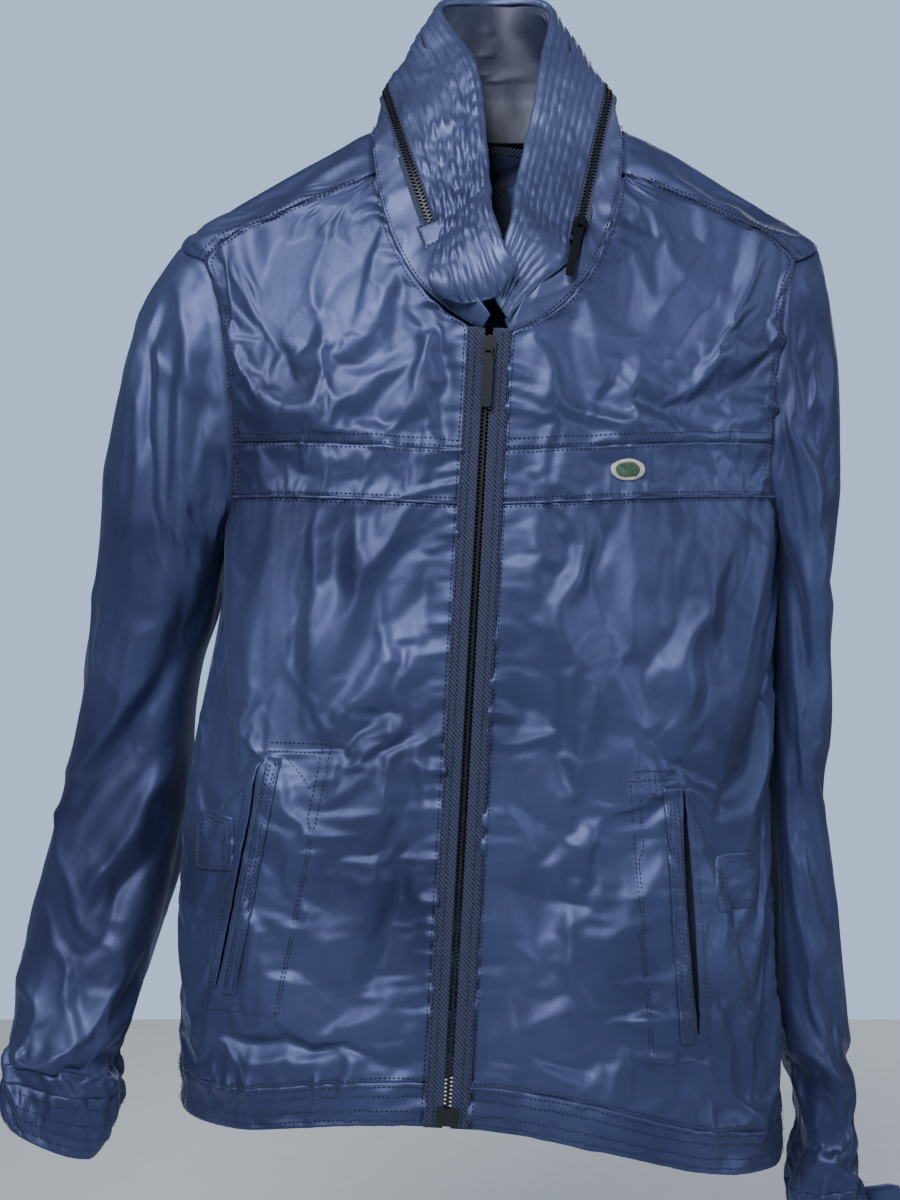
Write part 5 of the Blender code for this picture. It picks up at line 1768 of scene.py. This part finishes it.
vs = np.linspace(0, 1, LOWER_ROWS + 1)
low_band = dress_lower(sample(collar_low, COLLAR_WS, vs))
low_outs = collar_ways(low_band, COLLAR_WS)
piece = panel("look_collar_lower_band", low_band, collar_cloth, COLLAR_THICK, outwards=low_outs)
sewn(piece, "collar_lower_band")
hung(low_band)
seam_stitches("torso", low_band, 0, 0.0025, low_outs)
vs = np.linspace(0, 1, UPPER_ROWS + 1)
high_band = dress_upper(sample(collar_high, COLLAR_WS, vs))
high_outs = collar_ways(high_band, COLLAR_WS)
# The top edge rolls over inwards: (depth, share of a row's height beyond the edge) of its four rows.
TOP_ROLL = ((0.0008, 0.35), (0.0024, 0.3), (0.0034, -0.3), (0.0036, -3.0))
last_step = high_band[-1] - high_band[-2]
fold = [high_band[-1] - high_outs[-1] * deep + last_step * beyond for deep, beyond in TOP_ROLL]
rolled = np.concatenate((high_band, np.array(fold)))
piece = panel("look_collar_quilted_band", rolled, collar_cloth, COLLAR_THICK)
sewn(piece, "collar_quilted_band")
tuple(round(v, 3) for v in cloth_area(rolled))
for mark in QUILT_ROWS:
    seam_stitches("torso", high_band, int(round(mark * UPPER_ROWS)), 0.0, high_outs, lift=0.0001)
lining_ws = np.linspace(-0.93, 0.93, 97)
inner_grid = lining_grid(lining_ws, np.linspace(0.01, 0.985, 44), collar_inset)
wrinkled = creases(inner_grid, 0.026, 118, (1, 1, 0.35)) * 0.0022
wrinkled = wrinkled + np.maximum(waves(inner_grid, 0.05, 119), 0) * 0.0015
inner_height = row_lengths(inner_grid)
wrinkled *= ramp(inner_height, 0, 0.01) * ramp(inner_height[-1] - inner_height, 0, 0.01)
inner_grid = inner_grid - collar_ways(inner_grid, lining_ws) * wrinkled[..., None]
piece = panel("look_collar_lining", inner_grid, lining, 0.0008)
sewn(piece, "collar_lining")
hung(inner_grid)

# ---------------- trims that lie on the body


class Surface:
    """A dressed grid that small pieces can be laid on."""

    def __init__(self, grid):
        rows, columns = grid.shape[:2]
        points = [tuple(p) for p in grid.reshape(-1, 3)]
        faces = [
            (r * columns + c, r * columns + c + 1, (r + 1) * columns + c + 1, (r + 1) * columns + c)
            for r in range(rows - 1)
            for c in range(columns - 1)
        ]
        self.tree = BVHTree.FromPolygons(points, faces)

    def on(self, x, z, away=0.0):
        """The point of the cloth that faces forwards at x and z, moved away from it."""
        place, normal, _, _ = self.tree.ray_cast(Vector((x, -0.4, z)), Vector((0, 1, 0)))
        if place is None:
            place, normal, _, _ = self.tree.find_nearest(Vector((x, -0.1, z)))
        if normal.y > 0:
            normal = -normal
        return np.array(place + normal * away), np.array(normal)




def forwards(grid):
    """For each point of the grid, the direction to the jacket's front."""
    return np.ones(grid.shape) * np.array((0.0, -1.0, 0.0))



def patch(name, surface, point, rows, columns, away, puff, finish, thickness=0.0014):
    """A soft patch on a surface; point(u, v), each 0 to 1, gives its places in x and z."""

    def puffed(u, v):
        near = min(u, 1 - u, v, 1 - v) / 0.12
        return surface.on(*point(u, v), away + puff * min(near, 1) ** 0.5)[0]

    grid = sample(puffed, np.linspace(0, 1, columns + 1), np.linspace(0, 1, rows + 1))
    return panel(name, grid, finish, thickness, outwards=forwards(grid))


def ring_stitches(place, surface, point, inset, away):
    """Stitches round a patch, inset by a share of its width and height."""
    near_u, near_v = inset
    corners = ((near_u, near_v), (1 - near_u, near_v), (1 - near_u, 1 - near_v), (near_u, 1 - near_v))
    for k in range(4):
        start, end = corners[k], corners[(k + 1) % 4]
        places, outs = [], []
        for t in np.linspace(0, 1, 12):
            spot, out = surface.on(*point(lerp(start[0], end[0], t), lerp(start[1], end[1], t)), away)
            places.append(spot)
            outs.append(out)
        thread_of(place).line(np.array(places), np.array(outs))


def rounded(u, v, round_by=0.1):
    """Shares of a rectangle, pulled in at its corners."""
    a = 0.5 + (u - 0.5) * (1 - round_by * (2 * abs(v - 0.5)) ** 4)
    b = 0.5 + (v - 0.5) * (1 - round_by * (2 * abs(u - 0.5)) ** 4)
    return a, b


surfaces = {side: Surface(fronts[side]) for side in (-1, 1)}


def welt_point(side):
    (_, top_z), (_, low_z) = POCKETS[side]

    def point(u, v):
        z = lerp(low_z - 0.002, top_z + 0.002, v)
        return slit_x(side, z) - side * lerp(SLIT_WIDTH / 2 + 0.0002, SLIT_WIDTH / 2 + 0.0105, u), z

    return point


def tab_point(angles, zs):
    def point(u, v):
        a, b = rounded(u, v)
        z = lerp(zs[0], zs[1], b)
        return body(lerp(angles[0], angles[1], a), z).x, z

    return point


BADGE_MIDDLE = (0.086, -0.233)
BADGE_SIZE = (0.0235, 0.015)


def badge_point(u, v):
    """An oval, from the shares of a square."""
    angle = math.atan2(v - 0.5, u - 0.5)
    reach = max(abs(u - 0.5), abs(v - 0.5))
    (x, z), (wide, high) = BADGE_MIDDLE, BADGE_SIZE
    return x + wide * reach * math.cos(angle), z + high * reach * math.sin(angle)


def badge_inner(u, v):
    return tuple(lerp(c, b, 0.74) for b, c in zip(badge_point(u, v), BADGE_MIDDLE))


for side_name, side in SIDES.items():
    piece = patch(f"look_pocket_welt_{side_name}", surfaces[side], welt_point(side), 60, 6, 0.0009,
                     0.0009, shell)
    sewn(piece, f"pocket_welt_{side_name}")
    for inset in ((0.16, 0.012), (0.36, 0.024)):
        ring_stitches("torso", surfaces[side], welt_point(side), inset, 0.0019)

WAIST_TABS = (("right", (-66.0, -49.0), (-0.508, -0.468)), ("left", (46.0, 64.0), (-0.535, -0.495)))
for side_name, angles, zs in WAIST_TABS:
    side = SIDES[side_name]
    point = tab_point(angles, zs)
    piece = patch(f"look_waist_tab_{side_name}", surfaces[side], point, 14, 10, 0.0006, 0.0009, shell)
    sewn(piece, f"waist_tab_{side_name}")
    for inset in ((0.07, 0.05), (0.2, 0.14)):
        ring_stitches("torso", surfaces[side], point, inset, 0.0016)

piece = patch("look_chest_badge", surfaces[1], badge_point, 16, 16, 0.0008, 0.0008, badge_rim, 0.0012)
inner = patch("look_badge_middle", surfaces[1], badge_inner, 14, 14, 0.0017, 0.0005, badge_thread, 0.0006)
for made in (piece, inner):
    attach(made, "torso")
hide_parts("chest_badge")


def bag_grid(side):
    """The pocket's bag: one wall of cloth that hangs behind the front and is sewn to it all round."""
    (_, top_z), (_, low_z) = POCKETS[side]

    def point(u, v):
        z = lerp(low_z - 0.03, top_z + 0.006, v)
        x = slit_x(side, z) - side * lerp(-0.01, 0.085, u)
        deep = 0.003 + 0.011 * (math.sin(math.pi * u) * math.sin(math.pi * v)) ** 0.5
        return surfaces[side].on(x, z, -deep)[0]

    grid = sample(point, np.linspace(0, 1, 19), np.linspace(0, 1, 27))
    wrinkles = (creases(grid, 0.02, 140 + side) - 0.4) * 0.0012
    return grid + np.array((0, 1, 0)) * np.maximum(wrinkles, 0)[..., None]


for side_name, side in SIDES.items():
    grid = bag_grid(side)
    piece = panel(f"look_pocket_bag_{side_name}", grid, lining, 0.0007, smooth=0,
                  outwards=forwards(grid))
    sewn(piece, f"pocket_bag_{side_name}")
    hung(grid)

# ---------------- the front zip

TAPE_NEAR, TAPE_FAR = 0.0026, 0.015  # from the middle of the chain to the tape's edges
TAPE_BELOW = 0.014  # how far the tapes reach below the chain
chain = main_frame(ZIP_BOTTOM_Z)
chain_length = (zip_point(ZIP_TOP_Z) - zip_point(ZIP_BOTTOM_Z)).length
for side_name, side in SIDES.items():
    grid = strip_grid(chain, side * TAPE_NEAR, side * TAPE_FAR, -TAPE_BELOW, chain_length, 150, 6)
    ripple = seam_puckers(TAPE_FAR - column_lengths(grid) - TAPE_NEAR, row_lengths(grid), 151 + side,
                          0.0005, 0.004, 0.0)
    grid = grid + np.array((0, -1, 0)) * (ripple + 0.0008)[..., None]
    outs = forwards(grid)
    piece = panel(f"look_zip_tape_{side_name}", grid, tape, 0.0012, outwards=outs)
    sewn(piece, f"zip_tape_{side_name}")
    hung(grid)
    for gap in (0.0066, 0.011):
        edge_stitches("torso", grid, 0, gap, outs)
    places = []
    count = int(chain_length / TOOTH_PITCH) - 1
    for k in range(count):
        along = (k + (0.75 if side > 0 else 0.25)) * TOOTH_PITCH
        places.append(chain @ Matrix.Translation((0, along, 0.0)))
    piece = teeth(f"look_zip_teeth_{side_name}", places, side, black_teeth, 0.0013)
    sewn(piece, f"zip_teeth_{side_name}")

# ---------------- the hood zip

HOOD_PITCH = 0.0031


def hood_frame(w):
    """(across, along, out) on the hood zip's line; across points to the collar's top edge."""
    along = hood_line(w + 0.002) - hood_line(w - 0.002)
    return line_frame(hood_line(w), along, hood_across(w), collar_out(w))


hood_ws = np.linspace(-ZIP_END, ZIP_END, 181)
for part, side in (("lower", -1), ("upper", 1)):
    shares = np.linspace(0.0014, HOOD_TAPE_HALF + 0.0012, 4)
    grid = np.array([[(hood_frame(w) @ Vector((side * s, 0, 0.0002)))[:] for s in shares] for w in hood_ws])
    outs = np.array([[(hood_frame(w).to_3x3() @ Vector((0, 0, 1)))[:] for s in shares] for w in hood_ws])
    piece = panel(f"look_hood_zip_tape_{part}", grid, tape, 0.0009, outwards=outs)
    sewn(piece, f"hood_zip_tape_{part}")
    lengths = np.concatenate(([0], np.cumsum([
        (hood_line(b) - hood_line(a)).length for a, b in zip(hood_ws, hood_ws[1:])
    ])))
    places = []
    for k in range(int(lengths[-1] / HOOD_PITCH)):
        spot = (k + (0.75 if side > 0 else 0.25)) * HOOD_PITCH
        places.append(hood_frame(float(np.interp(spot, lengths, hood_ws))))
    piece = teeth(f"look_hood_zip_teeth_{part}", places, side, black_teeth, 0.0015)
    sewn(piece, f"hood_zip_teeth_{part}")

end_frame = hood_frame(-0.72)


def end_patch_point(u, v):
    edge = 1 - max(abs(u), abs(v)) ** 8
    return end_frame @ Vector((0.0102 * u, 0.0095 * v - 0.004, 0.002 + 0.0012 * edge))


corner_cloth = sample(end_patch_point, np.linspace(-1, 1, 13), np.linspace(-1, 1, 13))
corner_out = np.ones(corner_cloth.shape) * np.array((end_frame.to_3x3() @ Vector((0, 0, 1)))[:])
piece = panel("look_hood_zip_patch", corner_cloth, collar_cloth, 0.0014, outwards=corner_out)
sewn(piece, "hood_zip_patch")
for row in (1, 11):
    seam_stitches("torso", corner_cloth, row, 0.0, corner_out, 1, 12)
    edge_stitches("torso", corner_cloth, row, 0.0, corner_out, 1, 12)

# ---------------- the stowed hood, loop, label and mesh


def hood_roll():
    """The hood, rolled flat between the quilted band and the lining."""

    def point(k, w):
        middle = lerp(hood_line(w), COLLAR_TOP(w), 0.45)
        deep = COLLAR_DEPTH(abs(w))
        half_high = (COLLAR_TOP(w) - hood_line(w)).length * 0.2
        turn = 2 * math.pi * k / 20
        across, out = math.cos(turn) * half_high, math.sin(turn) * deep * 0.08 - deep * 0.55
        return middle + hood_frame(w).to_3x3() @ Vector((across, 0, out))

    return sample(point, range(20), np.linspace(-0.5, 0.5, 90))


roll = hood_roll()
roll_out = facing(grid_normals(roll, True), roll, ring_middles(roll))
roll = roll + roll_out * (creases(roll, 0.012, 161) * 0.0004)[..., None]
piece = panel("look_stowed_hood", roll, lining, 0.0004, True, smooth=0, outwards=roll_out)
sewn(piece, "stowed_hood")


def loop_point(u, z):
    """The ribbon of the hang loop stands off from the collar, most in its middle."""
    stand_off = math.cos(u * math.pi / 2) ** 2
    sag = 0.0004 * math.sin(9 * u) * (1 - abs(u))
    return 0.032 * u, lerp(0.0497, HOOK.y + 0.0006, stand_off) + sag, z


loop = sample(loop_point, np.linspace(-1, 1, 41), np.linspace(HOOK.z - 0.0002, HOOK.z + 0.0062, 5))
loop_out = forwards(loop)
piece = panel("look_hang_loop", loop, tape, 0.0012, outwards=-loop_out)
sewn(piece, "hang_loop")
for row in (1, 3):
    seam_stitches("torso", loop, row, 0.0, loop_out)


def inner_back(name, angles, zs, deep, rows, columns, finish, ripple):
    """A soft piece that lies on the inside of the back, deep metres within the body's surface."""

    def point(angle, z):
        on_body = body(angle if angle <= 180 else angle - 360, z)
        return on_body + Vector((-on_body.x, -on_body.y, 0)).normalized() * deep

    grid = sample(point, np.linspace(*angles, columns + 1), np.linspace(*zs, rows + 1))
    inwards = forwards(grid)
    grid = grid + inwards * np.maximum(waves(grid, 0.018, 171) * ripple, 0)[..., None]
    return panel(name, grid, finish, 0.0008, outwards=inwards), grid


MESH_ANGLES, MESH_HEIGHTS = (142, 218), (-0.095, -0.01)
LABEL_ANGLES, LABEL_HEIGHTS = (177.2, 182.8), (-0.055, -0.008)
piece, grid = inner_back("look_back_mesh", MESH_ANGLES, MESH_HEIGHTS, 0.01, 20, 40, blue_knit, 0.0006)
sewn(piece, "back_mesh")
hung(grid)
piece, grid = inner_back("look_neck_label", LABEL_ANGLES, LABEL_HEIGHTS, 0.0125, 16, 8, label_cloth,
                         0.0004)
sewn(piece, "neck_label")

# ---------------- the cuffs' tabs

for side_name, side in SIDES.items():
    root, reach, lift = tab_frame(side, RIGHT_CUFF if side < 0 else LEFT_CUFF)
    out = reach.cross(lift).normalized()
    out = out if out.y < 0 else -out

    def point(u, v):
        high = 0.009 * (1 - 0.35 * max(u - 0.75, 0) * 4 * abs(v))
        bow = 0.0012 * math.sin(math.pi * u) + 0.0004 * math.sin(5 * u + 2 * v)
        return root + reach * (0.0024 + 0.0254 * u) + lift * (high * v) + out * (0.0005 + bow * 0.6)

    grid = sample(point, np.linspace(0, 1, 17), np.linspace(-1, 1, 9))
    outs = np.ones(grid.shape) * np.array(out[:])
    piece = panel(f"look_cuff_tab_{side_name}", grid, shell, 0.0018, outwards=outs)
    sewn(piece, f"cuff_tab_{side_name}", f"cuff_tab_{side_name}")
    for row in (1, 7):
        seam_stitches(f"cuff_tab_{side_name}", grid, row, 0.0, outs, 0, 16)

for place, made in threads.items():
    piece = made.make(f"look_stitches_{place}", thread_painted_shade)
    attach(piece, place)

# ---------------- the rest of the CAD's pieces

HARD = {
    "zip_box": black_teeth,
    "zip_slider": dark_metal,
    "zip_pull": dark_metal,
    "hood_slider": dark_metal,
    "hood_pull": dark_metal,
}
for name, finish in HARD.items():
    node = bpy.data.objects[name]
    node.data.materials.clear()
    node.data.materials.append(finish)
    edge = node.modifiers.new("edges", "BEVEL")
    edge.width = 0.00025
    edge.segments = 2
    edge.limit_method = "ANGLE"

# ---------------- the studio

FLOOR_Z, FLOOR_HALF = -1.05, 1.5
CAMERA_PLACE, CAMERA_LENS = (-0.034, -1.167, -0.333), 46.8  # in metres, and in mm
MIDDLE = (-0.03, -0.05, -0.3)
LIGHTS = (  # name, place, target, size, power in watts and colour
    ("window", (-0.66, -1.6, 0.92), (-0.03, -0.05, -0.22), 1.0, 66, (1.0, 0.99, 0.99)),
    ("side", (1.9, -1.1, 0.3), MIDDLE, 1.2, 20, (0.9, 0.95, 1.0)),
    ("rear", (0.9, 1.9, 0.9), MIDDLE, 1.4, 34, (0.95, 0.97, 1.0)),
)


def area_light(name, place, target, size, power, colour):
    data = bpy.data.lights.new(name, "AREA")
    data.shape = "SQUARE"
    data.size = size
    data.energy = power
    data.color = colour
    lamp = bpy.data.objects.new(name, data)
    bpy.context.scene.collection.objects.link(lamp)
    lamp.location = place
    lamp.rotation_euler = (Vector(target) - Vector(place)).to_track_quat("-Z", "Y").to_euler()


def studio():
    for light in LIGHTS:
        area_light(*light)
    world = bpy.data.worlds.new("studio")
    world.use_nodes = True
    tree = world.node_tree
    tree.nodes.clear()
    ambient = tree.nodes.new("ShaderNodeBackground")
    ambient.inputs["Color"].default_value = (0.8, 0.88, 1.0, 1)
    ambient.inputs["Strength"].default_value = 0.085
    seen = tree.nodes.new("ShaderNodeBackground")
    seen.inputs["Color"].default_value = (0.52, 0.69, 0.99, 1)
    seen.inputs["Strength"].default_value = 1.0
    path = tree.nodes.new("ShaderNodeLightPath")
    mix = tree.nodes.new("ShaderNodeMixShader")
    out = tree.nodes.new("ShaderNodeOutputWorld")
    tree.links.new(path.outputs["Is Camera Ray"], mix.inputs["Fac"])
    tree.links.new(ambient.outputs["Background"], mix.inputs[1])
    tree.links.new(seen.outputs["Background"], mix.inputs[2])
    tree.links.new(mix.outputs["Shader"], out.inputs["Surface"])
    bpy.context.scene.world = world


def floor():
    mesh = bpy.data.meshes.new("floor")
    ways = ((-1, -1), (1, -1), (1, 1), (-1, 1))
    corners = [(x * FLOOR_HALF, y * FLOOR_HALF, FLOOR_Z) for x, y in ways]
    mesh.from_pydata(corners, [], [(0, 1, 2, 3)])
    obj = bpy.data.objects.new("floor", mesh)
    bpy.context.scene.collection.objects.link(obj)
    made, tree, shader = nodes_of("floor_paint", (0.62, 0.68, 0.74, 1), 0.8)
    place = object_place(tree)
    specks = noise_node(tree, place, 40.0, 3.0)
    tint(tree, shader, specks.outputs["Fac"], 0.3, 0.7, (0.6, 0.66, 0.72, 1), (0.63, 0.69, 0.75, 1))
    mesh.materials.append(made)


def camera():
    data = bpy.data.cameras.new("camera")
    data.lens = CAMERA_LENS
    data.sensor_width = 36
    obj = bpy.data.objects.new("camera", data)
    obj.location = CAMERA_PLACE
    obj.rotation_euler = (math.radians(90), 0, 0)
    bpy.context.scene.collection.objects.link(obj)
    bpy.context.scene.camera = obj


studio()
floor()
camera()
